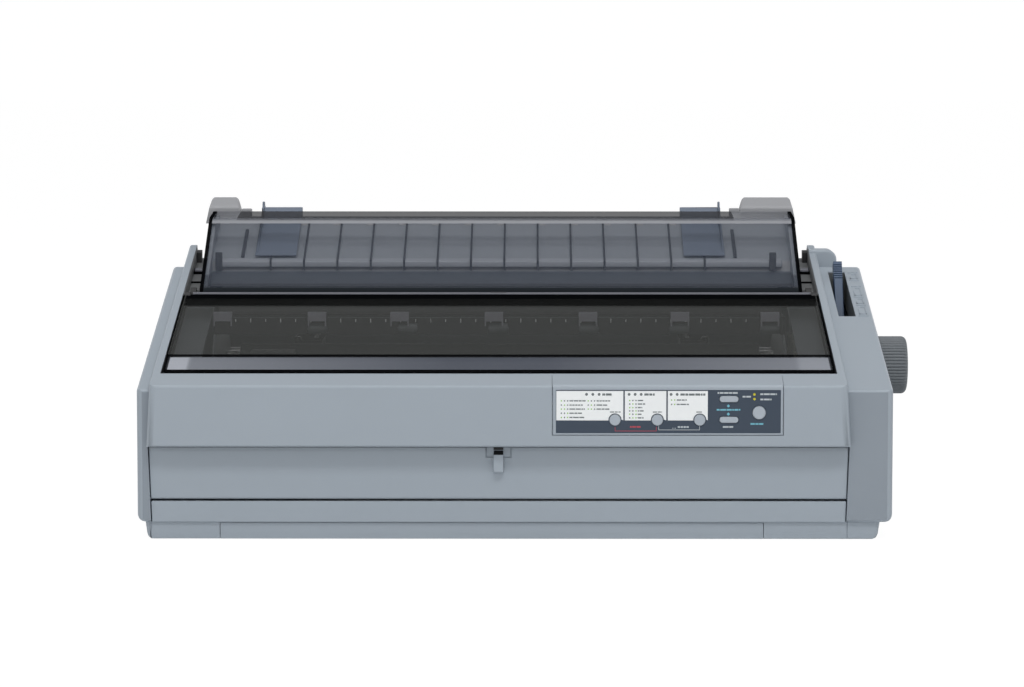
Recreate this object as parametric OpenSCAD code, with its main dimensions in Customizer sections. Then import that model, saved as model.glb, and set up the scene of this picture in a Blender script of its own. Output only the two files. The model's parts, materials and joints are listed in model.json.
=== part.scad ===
// Wide-carriage dot matrix printer with a sloping smoked cover, a rear paper guide and rear tractors.
// Outlines are drawn in (u, z): u is the distance behind the front face, z the height above the desk.

/* [Casing] */
// Width of the casing without the knob
body_w = 606; // [560:1:760]
// Overall depth, from the front face to the rear of the paper guide
body_d = 402; // [396:1:500]
// Height of the front face's top edge
face_h = 126; // [122:1:156]
// Height of the front overhang's lower edge
overhang_z = 76; // [72:1:84]
// Slope of the deck, in degrees
deck_slope = 13.73; // [12:0.01:17]
// Wall of the moulded cases
wall = 2.5; // [2:0.1:3]
// Width of the low shoulder on the left
left_shoulder_w = 11.5; // [10:0.5:16]
// Width of the low shoulder on the right, which holds the lever slot
right_shoulder_w = 37.5; // [36:0.5:48]
// Width of the raised rail on each side of the bay
rail_w = 6.5; // [6:0.1:8]
// Height of the rails above the shoulders
shoulder_drop = 8; // [6:0.5:9]
// Distance of the side columns behind the front face
column_u = 13; // [10:1:16]
// Height of the upper case's lower edge
split_z = 14.4; // [14.2:0.1:20]
// Height of the base's underside above the desk
foot_h = 1.2; // [1:0.1:2]
// Radius of a rubber foot
foot_r = 9; // [7:0.5:11]

/* [Covers] */
// Length of the smoked printer cover, front to back
lid_len = 193; // [186:1:196]
// Thickness of the smoked covers
lid_t = 2.5; // [2:0.1:3]
// Depth of the bay that the covers lie in
bay_depth = 13; // [12.6:0.1:15]
// Width of the ledge along each side of the bay
ledge_w = 26; // [24:1:28]
// Radius of the cover hinge pins
hinge_r = 2.5; // [2:0.1:3]
// Distance from the bay's side to the paper guide
guide_margin = 13.5; // [12:0.5:15]
// Slope of the paper guide cover, in degrees
guide_slope = 29; // [27:0.1:31]
// Length of the guide cover's slope, measured level
guide_run = 97; // [92:1:102]
// Height of the end domes above the guide cover's rear edge
dome_h = 12; // [10:1:20]
// Number of paper ribs under the guide cover
rib_count = 14; // [8:1:15]
// Distance between paper ribs
rib_pitch = 29.16; // [24:0.01:30]
// Width of an edge guide
edge_guide_w = 36; // [28:1:44]

/* [Print mechanism] */
// Radius of the platen roller
platen_r = 18; // [16:0.5:20]
// Distance of the platen's axis behind the front face
platen_u = 205; // [203:1:207]
// Height of the platen's axis
platen_z = 123; // [121:1:125]
// Radius of the platen shaft
shaft_r = 4; // [3:0.5:5]
// Radius of the carriage rod
rod_r = 5; // [4:0.5:6]
// Width of the carriage
carriage_w = 60; // [50:1:70]
// Radius of the timing belt pulleys
pulley_r = 8; // [6:0.5:9]
// Teeth on the platen gear and on the tractor gear
platen_teeth = 40; // [38:1:42]
// Teeth on the transfer gear between them
transfer_teeth = 45; // [43:1:46]
// Teeth on the reduction gear
reduction_teeth = 30; // [28:1:32]
// Teeth on the feed motor's pinion
pinion_teeth = 12; // [11:1:14]
// Radius of the print wire nose
nose_r = 6; // [4:0.5:7]

/* [Knob and lever] */
// Distance that the knob stands out of the casing
knob_out = 28.6; // [26:0.1:36]
// Radius of the knob
knob_r = 24.5; // [20:0.5:27]
// Number of grip ridges on the knob
knob_ridges = 54; // [24:1:60]
// Thickness of the paper release lever
lever_w = 7.4; // [6:0.1:9]
// Length of the lever slot
slot_len = 120; // [112:1:124]

/* [Control panel] */
// Width of the panel bezel
panel_w = 184; // [178:1:190]
// Distance from the panel to the right rail
panel_offset = 45; // [40:0.5:52]
// Height of the panel bezel's lower edge
panel_z = 86; // [83:0.5:89]
// Travel of a button
button_travel = 1; // [0.6:0.1:1.4]
// Gap round a button
button_gap = 0.3; // [0.2:0.05:0.5]

/* [Front cover] */
// Height of the sill below the front cover
sill_h = 17; // [14:0.5:19]
// Width of the finger tab
tab_w = 8; // [6:0.5:12]

/* [Hidden] */
$fn = 48;

// Colours
case_grey = [0.60, 0.64, 0.68];
smoke = [0.16, 0.17, 0.19, 0.6];
guide_grey = [0.50, 0.52, 0.54];
accent_blue = [0.20, 0.28, 0.42];
slate = [0.22, 0.26, 0.31];
knob_grey = [0.30, 0.32, 0.34];
button_grey = [0.68, 0.71, 0.75];
steel = [0.70, 0.71, 0.72];
plated = [0.78, 0.79, 0.80];
black_plastic = [0.09, 0.09, 0.10];
gear_white = [0.90, 0.89, 0.84];
board_green = [0.10, 0.34, 0.20];
rubber = [0.13, 0.13, 0.14];

// Clearances
gap = 0.3;
run_clear = 0.06;

// Lines across the width: outer sides, shoulders and rails. The knob makes the whole symmetric.
xl = -(body_w + knob_out) / 2;
xr = xl + body_w;
ls = xl + left_shoulder_w;
rs = xr - right_shoulder_w;
li = ls + rail_w;
ri = rs - rail_w;
mech_x = (li + ri) / 2;

// Lines along the depth and in height
front_y = -body_d / 2;
case_d = body_d - 30;
peak_u = case_d - 8;
shoulder_end_u = case_d - 45;
bay_u = 28;
notch_u = 60;
knee_z = face_h - 4;
rear_slot_z = 140;
top_z = 400;
hump_w = 18;
hump_round = 9;
hump_drop = 2.5;

// Base
base_inset = 8.5;
floor_t = 2.5;
floor_z = foot_h + floor_t;
sill_u = column_u + 1.5;
base_u = sill_u + wall;
base_back_u = case_d - 6;
sill_z = 14;
sill_top_z = sill_z + sill_h;
rim_w = base_inset + wall;
seam_l = xl + 66;
seam_r = rs - 65.5;
sleeve_top_z = 25;
boss_r = 5;
screw_r = 1.5;
screw_head_r = 3.4;
screw_head_h = 2;
screw_seat_z = foot_h + 6;
screw_end_z = 38;
boss_spots = [[li + 3, 85], [xr - 20.5, 85], [li + 3, case_d - 28], [ri - 12, case_d - 28]];

// Smoked printer cover
lid_u = bay_u + 5;
lid_band = 38;
lid_rear_u = lid_u + lid_len;
lid_axis_u = lid_rear_u - 3.2;
lid_side_gap = 1.6;
lid_rise = 0.6;
band_drop = 1.5;
lid_rim = 8;
lid_axis_z = deck(lid_axis_u) - 3;

// Paper guide and its cover
guide_l = li + guide_margin;
guide_r = ri - guide_margin;
cover_u = lid_rear_u + 9;
cover_z = deck(cover_u) + 3;
cover_top_u = cover_u + guide_run;
cover_top_z = cover_z + guide_run * tan(guide_slope);
cover_back_u = body_d - 22;
cover_back_z = cover_top_z + 4;
cover_wall = 8;
cover_lip = 5.5;
cover_axis_u = cover_u + 8;
cover_axis_z = cover_z - 3.2;
guide_axis_u = cover_u + 16;
guide_axis_z = deck(guide_axis_u) - 7;
cheek_t = 3;
cheek_l = guide_l + lid_t + 0.5;
cheek_r = guide_r - lid_t - 0.5;
ear_w = 5;
ear_gap = 4;
plate_u = cover_u + 62;
plate_z = cover_z + 19;
plate_back_z = cover_back_z - 9;
rear_deck_u = cover_back_u + 2;
rear_deck_z = plate_back_z + 1;
slide_u = rear_deck_u + 5;
slide_h = 3;
rib_h = 2;
rib_t = 1.6;
rib_start = mech_x - (rib_count - 1) * rib_pitch / 2 - 12;
dome_top_z = cover_back_z + dome_h;
dome_front_z = dome_top_z - 7;
left_dome_w = 23.5;
right_dome_w = 43;
dome_lean = 5;
dome_flare = 4.5;
edge_guide_l = guide_l + 43;
edge_guide_r = guide_r - 63;
fin_t = 1.6;

// Mechanism
frame_t = 2;
frame_l = li + 29.5;
frame_r = ri - 31.5;
frame_top_z = platen_z + 27;
pan_z = 26;
pan_t = 2;
pan_u0 = 50;
pan_u1 = case_d - 22;
deck_z = pan_z + pan_t;
gear_m = 1;
gear_w = 6;
gear_x = frame_r + 8;
pin_r = 3;
tooth_fill = 0.38;
reduction_angle = -100;
platen_pr = pitch_r(platen_teeth);
transfer_pr = pitch_r(transfer_teeth);
reduction_pr = pitch_r(reduction_teeth);
pinion_pr = pitch_r(pinion_teeth);
transfer_u = platen_u + platen_pr + transfer_pr;
tractor_u = transfer_u + transfer_pr + platen_pr;
reduction_u = platen_u + (platen_pr + reduction_pr) * cos(reduction_angle);
reduction_z = platen_z + (platen_pr + reduction_pr) * sin(reduction_angle);
pinion_z = reduction_z - reduction_pr - pinion_pr;
transfer_turn = mesh_turn(0, 0, platen_teeth, transfer_teeth);
tractor_turn = mesh_turn(0, transfer_turn, transfer_teeth, platen_teeth);
reduction_turn = mesh_turn(reduction_angle, 0, platen_teeth, reduction_teeth);
pinion_turn = mesh_turn(-90, reduction_turn, reduction_teeth, pinion_teeth);
bush_r = shaft_r + 3;
bush_t = frame_t + 4;
roller_l = frame_l + 22;
roller_r = frame_r - 21;
motor_r = 21;
motor_len = 36;
motor_shaft_r = 2.5;

// Paper release lever
slot_u = 194;
slot_x = rs + 8;
slot_w = 14.5;
lever_x = slot_x + (slot_w - lever_w) / 2 - 0.2;
lever_u = platen_u + 27;
lever_z = platen_z - 29;
lever_pin_r = 3;
lever_hub_r = 8;
lever_half = 5.5;
lever_tip_u = slot_u + slot_len - 14;
lever_tip_z = shoulder(lever_tip_u) + 11.5;
lever_lean = atan2(lever_tip_u - lever_u, lever_tip_z - lever_z);
lever_len = norm([lever_tip_u - lever_u, lever_tip_z - lever_z]);

// Carriage, belt and ribbon
rod_u = platen_u - 77;
rod_z = platen_z - 29;
rail_u = rod_u + 28;
rail_d = 8;
rail_z = platen_z - 53;
rail_t = 3;
carriage_u0 = rod_u - 15;
carriage_u1 = platen_u - platen_r - 15;
carriage_z0 = rod_z - 12;
carriage_z1 = rod_z + 12;
carriage_x = roller_l + carriage_w / 2;
head_w = 36;
head_u0 = carriage_u1 - 32;
head_z1 = platen_z + 16;
nose_u = platen_u - platen_r - 1.5;
belt_u = rod_u - 28;
belt_z = rod_z - 10;
belt_w = 6;
belt_t = 1.2;
pulley_l = frame_l + 27;
pulley_rx = frame_r - 27;
flange_t = 1;
ribbon_u0 = 62;
ribbon_u1 = rod_u - 17;
ribbon_z = carriage_z1 + 6;
ribbon_h = 18;
ribbon_l = frame_l + frame_t + 2;
ribbon_r = frame_r - frame_t - 2;
ribbon_arm = 13;
ribbon_knob_x = ribbon_l + 70;
ribbon_knob_u = (ribbon_u0 + ribbon_u1) / 2;
ribbon_knob_r = 10;

// Tension unit, tractors and tractor covers
tension_z = frame_top_z;
tension_h = 15;
tension_u0 = platen_u - 15;
tension_u1 = platen_u + 17;
chute_u = tension_u1 + 7.5;
chute_z = tension_z + 11;
star_r = 4.5;
star_w = 16;
star_count = 6;
star_u = platen_u - 9;
star_z = tension_z + 4.6;
star_shaft_r = 1.5;
support_u = tractor_u + 35;
support_r = 4;
tractor_shaft_r = 4.5;
tractor_w = 18;
tractor_u0 = tractor_u - 14;
tractor_u1 = support_u + 10;
tractor_z0 = platen_z - 13;
tractor_z1 = platen_z + 14;
tractor_spread = 165;
pin_pitch = 12.7;
pin_count = 4;
pin_u0 = (tractor_u0 + tractor_u1 - (pin_count - 1) * pin_pitch) / 2;
flap_axis_out = 12;
flap_axis_z = tractor_z1 + 1;
flap_pin_r = 1.5;
flap_t = 2;
flap_ear = 5;

// Control panel
panel_r = ri - panel_offset;
panel_l = panel_r - panel_w;
panel_back_u = bay_u - 4.3;
overlay_l = panel_l + 2.9;
overlay_r = panel_r - 2.2;
overlay_z0 = panel_z + 1.7;
overlay_z1 = panel_z + 36.2;
overlay_t = 0.5;
board_u = 11;
board_t = 1.6;
key_z = panel_z + 12.2;
key_r = 4.75;
pause_r = 5.5;
pill_w = 15.6;
pill_h = 5.4;
key_out = 1.2;
light_r = 1;
light_z = panel_z + 32.7;
key_xs = [panel_l + 49.9, panel_l + 83.6, panel_l + 117.4];
pill_x = panel_l + 140.6;
pill_zs = [panel_z + 29, panel_z + 12.4];
pause_spot = [panel_l + 164.6, panel_z + 18.1];
light_spots = concat(
    [for (x = [27.2, 32.2, 37.2, 61.1, 65.9, 70.7, 94.5, 99.3]) [panel_l + x, light_z]],
    [for (z = [29, 32.7]) [panel_l + 160.8, panel_z + z]]);

// Front cover
front_l = ls + 0.7;
front_r = rs - 0.7;
front_u = column_u + 2;
front_top_z = overhang_z - 1.7;
front_foot_z = sill_top_z + 1.6;
front_axis_u = front_u + 2.1;
front_axis_z = front_foot_z + 1.9;
front_pin_r = 1.8;

// Rear and left side
inlet_w = 28;
inlet_h = 22;
inlet_l = xl + 60;
inlet_z = 46;
port_w = 118;
port_h = 26;
port_l = frame_r - port_w - 8;
port_z = deck_z + 7.6;
board_z = deck_z + 6;
switch_u = 92;
switch_w = 24;
switch_z = 66;
switch_h = 14.4;
switch_axis_x = xl + 4.5;
switch_pin_r = 1.5;
switch_tip = 6;

function slope_t(t) = t / cos(deck_slope);
function deck(u) = face_h + u * tan(deck_slope);
function shoulder(u) = deck(u) - shoulder_drop;
function cover(u) = u < cover_top_u ? cover_z + (u - cover_u) * tan(guide_slope)
    : cover_top_z + (u - cover_top_u) * (cover_back_z - cover_top_z) / (cover_back_u - cover_top_u);
function plate(u) = plate_z + (u - plate_u) * (plate_back_z - plate_z) / (cover_back_u - plate_u);
function pitch_r(teeth) = gear_m * teeth / 2;

// Turn of gear b so that it meshes with gear a, for a line of centres at the given angle
function mesh_turn(line, turn_a, teeth_a, teeth_b) =
    let (teeth_past = (line - turn_a) * teeth_a / 360)
    line + 180 - (0.5 - (teeth_past - floor(teeth_past))) * 360 / teeth_b;

// Outline of a toothed wheel
function gear_points(teeth, turn) = [
    for (i = [0:teeth - 1], k = [0:3])
        let (pitch = 360 / teeth,
            r = pitch_r(teeth) + (k == 1 || k == 2 ? 0.8 : -1.25) * gear_m,
            half = pitch * tooth_fill * (k == 1 || k == 2 ? 0.28 : 0.74),
            a = turn + i * pitch + (k < 2 ? -half : half))
        [r * cos(a), r * sin(a)]];

// Points of an arc
function arc(cx, cy, r, a0, a1, steps = 8) =
    [for (i = [0:steps]) let (a = a0 + (a1 - a0) * i / steps) [cx + r * cos(a), cy + r * sin(a)]];

// Outline (u, z) drawn across the width from x0 to x1
module across(x0, x1) {
    translate([x0, front_y, 0]) rotate([90, 0, 90]) linear_extrude(x1 - x0) children();
}

// Outline (x, z) drawn along the depth from u0 to u1
module along(u0, u1) {
    translate([0, front_y + u1, 0]) rotate([90, 0, 0]) linear_extrude(u1 - u0) children();
}

module block(x0, x1, u0, u1, z0, z1) {
    translate([x0, front_y + u0, z0]) cube([x1 - x0, u1 - u0, z1 - z0]);
}

module rod_x(x0, x1, u, z, r) {
    translate([x0, front_y + u, z]) rotate([0, 90, 0]) cylinder(h = x1 - x0, r = r);
}

module rod_y(x, z, u0, u1, r) {
    translate([x, front_y + u0, z]) rotate([-90, 0, 0]) cylinder(h = u1 - u0, r = r);
}

module rod_z(x, u, z0, z1, r) {
    translate([x, front_y + u, z0]) cylinder(h = z1 - z0, r = r);
}

module gear(x, u, z, teeth, turn, bore) {
    difference() {
        across(x, x + gear_w) translate([u, z]) polygon(gear_points(teeth, turn));
        rod_x(x - 1, x + gear_w + 1, u, z, bore);
    }
}

// ---- Casing ----

// Side outline of a shoulder, inset by t on every side but the bottom
function shoulder_outline(t, low_z, u0) = concat(
    [[u0, low_z], [u0, shoulder(u0) - slope_t(t) - 1.5], [u0 + 1.5, shoulder(u0) - slope_t(t)]],
    arc(shoulder_end_u, shoulder(shoulder_end_u) - slope_t(t) - 9, 9, 90, 20),
    [[case_d - t, knee_z], [case_d - t, low_z]]);

// Side outline of the middle: front face, deck, rear slope, and the recess below the overhang
function middle_outline(t, low_z, notch) = concat(
    [[t, overhang_z + t], [t, deck(t) - slope_t(t) - 1.5], [t + 1.5, deck(t) - slope_t(t)]],
    arc(peak_u, deck(peak_u) - slope_t(t) - 5, 5, 90, 30, 4),
    [[case_d - t, knee_z], [case_d - t, low_z], [notch, low_z], [notch, overhang_z + t]]);

module case_mass() {
    across(xl, ls) polygon(shoulder_outline(0, split_z, column_u));
    across(rs, xr) polygon(shoulder_outline(0, split_z, column_u));
    across(ls, rs) polygon(middle_outline(0, split_z, notch_u));
    hump(0);
}

// Raised corner behind the lever, with a round shoulder on the right
module hump(t) {
    along(shoulder_end_u + 14 + t, case_d - 8 - t) polygon(concat(
        [[ri, knee_z - 40]], [[ri, deck(peak_u) - hump_drop - t]],
        arc(rs + hump_w - hump_round, deck(peak_u) - hump_drop - hump_round, hump_round - t, 90, 0),
        [[rs + hump_w - t, knee_z - 40]]));
}

module case_hollow() {
    difference() {
        union() {
            across(xl + wall, ls - wall) polygon(shoulder_outline(wall, -1, column_u + wall));
            across(rs + wall, xr - wall) polygon(shoulder_outline(wall, -1, column_u + wall));
            across(xl + wall, xr - wall) polygon(shoulder_outline(wall, -1, notch_u + 2));
            across(ls + wall, rs - wall) polygon(middle_outline(wall, -1, notch_u - 1));
            hump(wall);
        }
        // Rim turned in along the bottom edge, which stands on the base
        difference() {
            block(xl, xr, column_u, case_d, split_z - 2, split_z + wall);
            block(xl + rim_w, rs, column_u - 1, base_back_u - wall, split_z - 3, split_z + wall + 1);
            block(rs - 1, xr - rim_w, base_u + wall, base_back_u - wall, split_z - 3,
                split_z + wall + 1);
        }
    }
}

// Bay floor with the side ledges, as a solid band below the deck
module bay_tray() {
    intersection() {
        across(li - wall, ri + wall) polygon([for (p = [[bay_u - wall, -bay_depth - wall],
            [case_d, -bay_depth - wall], [case_d, 0], [bay_u - wall, 0]]) [p[0], deck(p[0]) + p[1]]]);
        across(li - wall, ri + wall) polygon(middle_outline(0, split_z, notch_u));
    }
}

// Ears on the ledges that carry the paper guide
module guide_ears() {
    for (x = [guide_l - ear_gap - ear_w, guide_r + ear_gap])
        difference() {
            across(x, x + ear_w) polygon(concat(
                [[guide_axis_u - 9, deck(guide_axis_u - 9) - bay_depth - 1]],
                [[guide_axis_u + 9, deck(guide_axis_u + 9) - bay_depth - 1]],
                arc(guide_axis_u, guide_axis_z, 5, 10, 170)));
            rod_x(x - 1, x + ear_w + 1, guide_axis_u, guide_axis_z, hinge_r + run_clear);
        }
}

function boss_top(spot) =
    (spot[0] > rs ? shoulder(spot[1] - boss_r) : deck(spot[1] - boss_r) - bay_depth) - 1;

module case_cuts() {
    // Bay for the covers, and the mechanism's opening through its floor
    across(li, ri) polygon([[bay_u, deck(bay_u) - bay_depth],
        [case_d + 5, deck(case_d + 5) - bay_depth], [case_d + 5, top_z], [bay_u, top_z]]);
    block(li + ledge_w, ri - ledge_w, bay_u + 18, case_d - 6, overhang_z + 4, top_z);
    block(li + ledge_w, ri - ledge_w, case_d - 40, case_d + 5, rear_slot_z, top_z);
    // Bores for the hinge pins of the printer cover and of the front cover
    for (x = [li - wall - 1, ri - 1])
        rod_x(x, x + wall + 2, lid_axis_u, lid_axis_z, hinge_r + run_clear);
    for (x = [ls - wall - 1, rs - 1])
        rod_x(x, x + wall + 2, front_axis_u, front_axis_z, front_pin_r + run_clear);
    // Lever slot, knob hole, control panel, mains inlet, rear connectors and power switch
    block(slot_x, slot_x + slot_w, slot_u, slot_u + slot_len, knee_z, top_z);
    rod_x(xr - wall - 1, xr + 1, platen_u, platen_z, shaft_r + 4);
    block(panel_l - gap, panel_r + gap, -1, panel_back_u + gap, panel_z - gap, top_z);
    block(inlet_l - gap, inlet_l + inlet_w + gap, case_d - 10, case_d + 1,
        inlet_z - gap, inlet_z + inlet_h + gap);
    block(port_l - gap, port_l + port_w + gap, case_d - 10, case_d + 1,
        port_z - gap, port_z + port_h + gap);
    block(xl - 1, xl + wall + 1, switch_u - gap, switch_u + switch_w + gap,
        switch_z, switch_z + switch_h);
    // Cooling slots low on the left side
    for (i = [0:11]) block(xl - 1, xl + wall + 1, 150 + i * 9, 154 + i * 9, 40, 74);
}

// Ears inside the left side that carry the power switch
module switch_ears() {
    for (u = [switch_u - gap - 3, switch_u + switch_w + gap])
        difference() {
            block(xl + wall - 0.5, xl + wall + 8, u, u + 3, switch_z - 2, switch_z + switch_h + 2);
            rod_y(switch_axis_x, switch_z + switch_h / 2, u - 1, u + 4, switch_pin_r + run_clear);
        }
}

module upper_case() {
    color(case_grey) {
        difference() {
            union() {
                difference() {
                    case_mass();
                    case_hollow();
                }
                bay_tray();
                for (spot = boss_spots) rod_z(spot[0], spot[1], sleeve_top_z, boss_top(spot), boss_r);
            }
            case_cuts();
            for (spot = boss_spots)
                rod_z(spot[0], spot[1], sleeve_top_z - 1, screw_end_z + 2, screw_r + 0.1);
        }
        guide_ears();
        switch_ears();
    }
}

// ---- Base ----

module lower_case() {
    bl = xl + base_inset;
    br = xr - base_inset;
    color(case_grey) difference() {
        union() {
            block(bl, br, base_u, base_back_u, foot_h, floor_z);
            for (x = [bl, br - wall]) block(x, x + wall, base_u, base_back_u, foot_h, split_z);
            for (u = [base_u, base_back_u - wall]) block(bl, br, u, u + wall, foot_h, split_z);
            block(front_l + 1, front_r - 1, base_u, base_u + wall, foot_h, sill_top_z - wall);
            for (spot = boss_spots) rod_z(spot[0], spot[1], foot_h, sleeve_top_z, boss_r);
            for (x = [frame_l + 20, mech_x, frame_r - 20], u = [pan_u0 + 20, pan_u1 - 20])
                rod_z(x, u, foot_h, pan_z, boss_r);
        }
        block(seam_l, seam_r, base_u - 1, base_u + wall, foot_h - 1, sill_z - 0.6);
        // Grooves in line with the ends of the front cover
        for (x = [front_l, front_r]) block(x - 0.4, x + 0.4, base_u - 1, base_u + 0.8, 0, split_z + 1);
        for (spot = boss_spots) {
            rod_z(spot[0], spot[1], foot_h - 1, sleeve_top_z + 1, screw_r + 0.2);
            rod_z(spot[0], spot[1], foot_h - 1, screw_seat_z, screw_head_r + gap);
        }
        // Cooling slots in the floor
        for (i = [0:17]) block(seam_l + 20 + i * 12, seam_l + 25 + i * 12, 210, 320, 0, floor_z + 1);
    }
}

module front_sill() {
    color(case_grey) difference() {
        block(front_l, front_r, sill_u, sill_u + 12, sill_z, sill_top_z);
        block(front_l - 1, front_r + 1, base_u, sill_u + 13, sill_z - 1, sill_top_z - wall);
    }
}

module base_front_panel() {
    color(case_grey)
        block(seam_l + 0.4, seam_r - 0.4, base_u, base_u + wall, foot_h, sill_z - 0.8);
}

foot_spots = [for (x = [xl + 34, xr - 34], u = [base_u + 26, base_back_u - 26]) [x, u]];

module rubber_feet() {
    color(rubber) for (spot = foot_spots) rod_z(spot[0], spot[1], 0, foot_h, foot_r);
}

module case_screws() {
    color(plated) for (spot = boss_spots) {
        rod_z(spot[0], spot[1], screw_seat_z - screw_head_h, screw_seat_z, screw_head_r);
        rod_z(spot[0], spot[1], screw_seat_z - 0.5, screw_end_z, screw_r);
    }
}

// ---- Covers ----

module front_cover() {
    color(case_grey) {
        difference() {
            across(front_l, front_r) polygon([[front_u, front_foot_z + 1], [front_u, front_top_z],
                [front_u + wall, front_top_z], [front_u + wall, front_axis_z],
                [front_axis_u + 2, front_axis_z], [front_axis_u + 2, front_foot_z + 0.6],
                [front_u + 1, front_foot_z]]);
            // Recess behind the finger tab
            block(mech_x - tab_w / 2 - 6, mech_x + tab_w / 2 + 6, front_u - 1, front_u + 1.2,
                front_top_z - 8, front_top_z + 1);
        }
        rod_x(front_l - 2.6, front_l + 1, front_axis_u, front_axis_z, front_pin_r);
        rod_x(front_r - 1, front_r + 2.6, front_axis_u, front_axis_z, front_pin_r);
        // Finger tab
        across(mech_x - tab_w / 2, mech_x + tab_w / 2) polygon([[front_u + 1.5, front_top_z - 20],
            [front_u + 1.5, front_top_z - 2], [front_u - 5, front_top_z - 5],
            [front_u - 6, front_top_z - 19], [front_u - 5, front_top_z - 20]]);
    }
}

// Height of the printer cover's outer face
function lid_z(u) = deck(u) + lid_rise - (u < lid_u + lid_band ? band_drop : 0);

module printer_cover() {
    lid_l = li + lid_side_gap;
    lid_r = ri - lid_side_gap;
    crease_u = lid_u + lid_band;
    color(smoke) difference() {
        union() {
            across(lid_l, lid_r) polygon(concat(
                [[lid_u, lid_z(lid_u) - lid_rim], [lid_u, lid_z(lid_u) - 4], [lid_u + 2, lid_z(lid_u) - 1],
                [lid_u + 6, lid_z(lid_u + 6)], [crease_u - 1, lid_z(crease_u - 1)],
                [crease_u, deck(crease_u) + lid_rise]],
                [[lid_rear_u - 2, deck(lid_rear_u - 2) + lid_rise], [lid_rear_u, deck(lid_rear_u) - 2],
                [lid_rear_u, deck(lid_rear_u) - 5], [lid_rear_u - 8, deck(lid_rear_u - 8) - lid_rim]]));
            rod_x(li - wall + 0.3, ri + wall - 0.3, lid_axis_u, lid_axis_z, hinge_r);
        }
        across(lid_l + lid_t, lid_r - lid_t) polygon([
            [lid_u + lid_t, lid_z(lid_u) - lid_rim - 2], [lid_u + lid_t, lid_z(lid_u) - 3.5],
            [lid_u + 7, lid_z(lid_u + 7) - slope_t(lid_t)],
            [crease_u + 1, lid_z(crease_u - 1) - slope_t(lid_t) + 0.3],
            [crease_u + 2, deck(crease_u + 2) + lid_rise - slope_t(lid_t)],
            [lid_rear_u - 9, deck(lid_rear_u - 9) + lid_rise - slope_t(lid_t)],
            [lid_rear_u - 9, deck(lid_rear_u - 9) - lid_rim - 3]]);
    }
}

module paper_guide_cover() {
    t = lid_t / cos(guide_slope);
    color(smoke) {
        difference() {
            across(guide_l, guide_r) polygon([[cover_u, cover_z - cover_lip], [cover_u, cover_z],
                [cover_top_u - 2, cover(cover_top_u - 2)], [cover_top_u + 3, cover_top_z + 0.4],
                [cover_back_u, cover_back_z], [cover_back_u, cover_back_z - cover_wall],
                [cover_top_u + 4, cover_top_z - cover_wall],
                [cover_u + 12, cover(cover_u + 12) - cover_wall - 1], [cover_u + 8, cover_z - cover_lip]]);
            across(guide_l + lid_t, guide_r - lid_t) polygon([
                [cover_u + lid_t, cover_z - cover_lip - 1], [cover_u + lid_t, cover(cover_u + lid_t) - t],
                [cover_top_u - 1, cover(cover_top_u - 1) - t], [cover_top_u + 3, cover_top_z - lid_t + 0.4],
                [cover_back_u + 1, cover_back_z - lid_t], [cover_back_u + 1, cover_z - 20],
                [cover_u + lid_t, cover_z - 20]]);
        }
        rod_x(guide_l + lid_t - 0.5, cheek_l + cheek_t + 0.5, cover_axis_u, cover_axis_z, hinge_r - 0.5);
        rod_x(cheek_r - cheek_t - 0.5, guide_r - lid_t + 0.5, cover_axis_u, cover_axis_z, hinge_r - 0.5);
        // Rolled front edge
        rod_x(guide_l, guide_r, cover_u + 1.2, cover_z - cover_lip, 1.4);
    }
}

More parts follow.
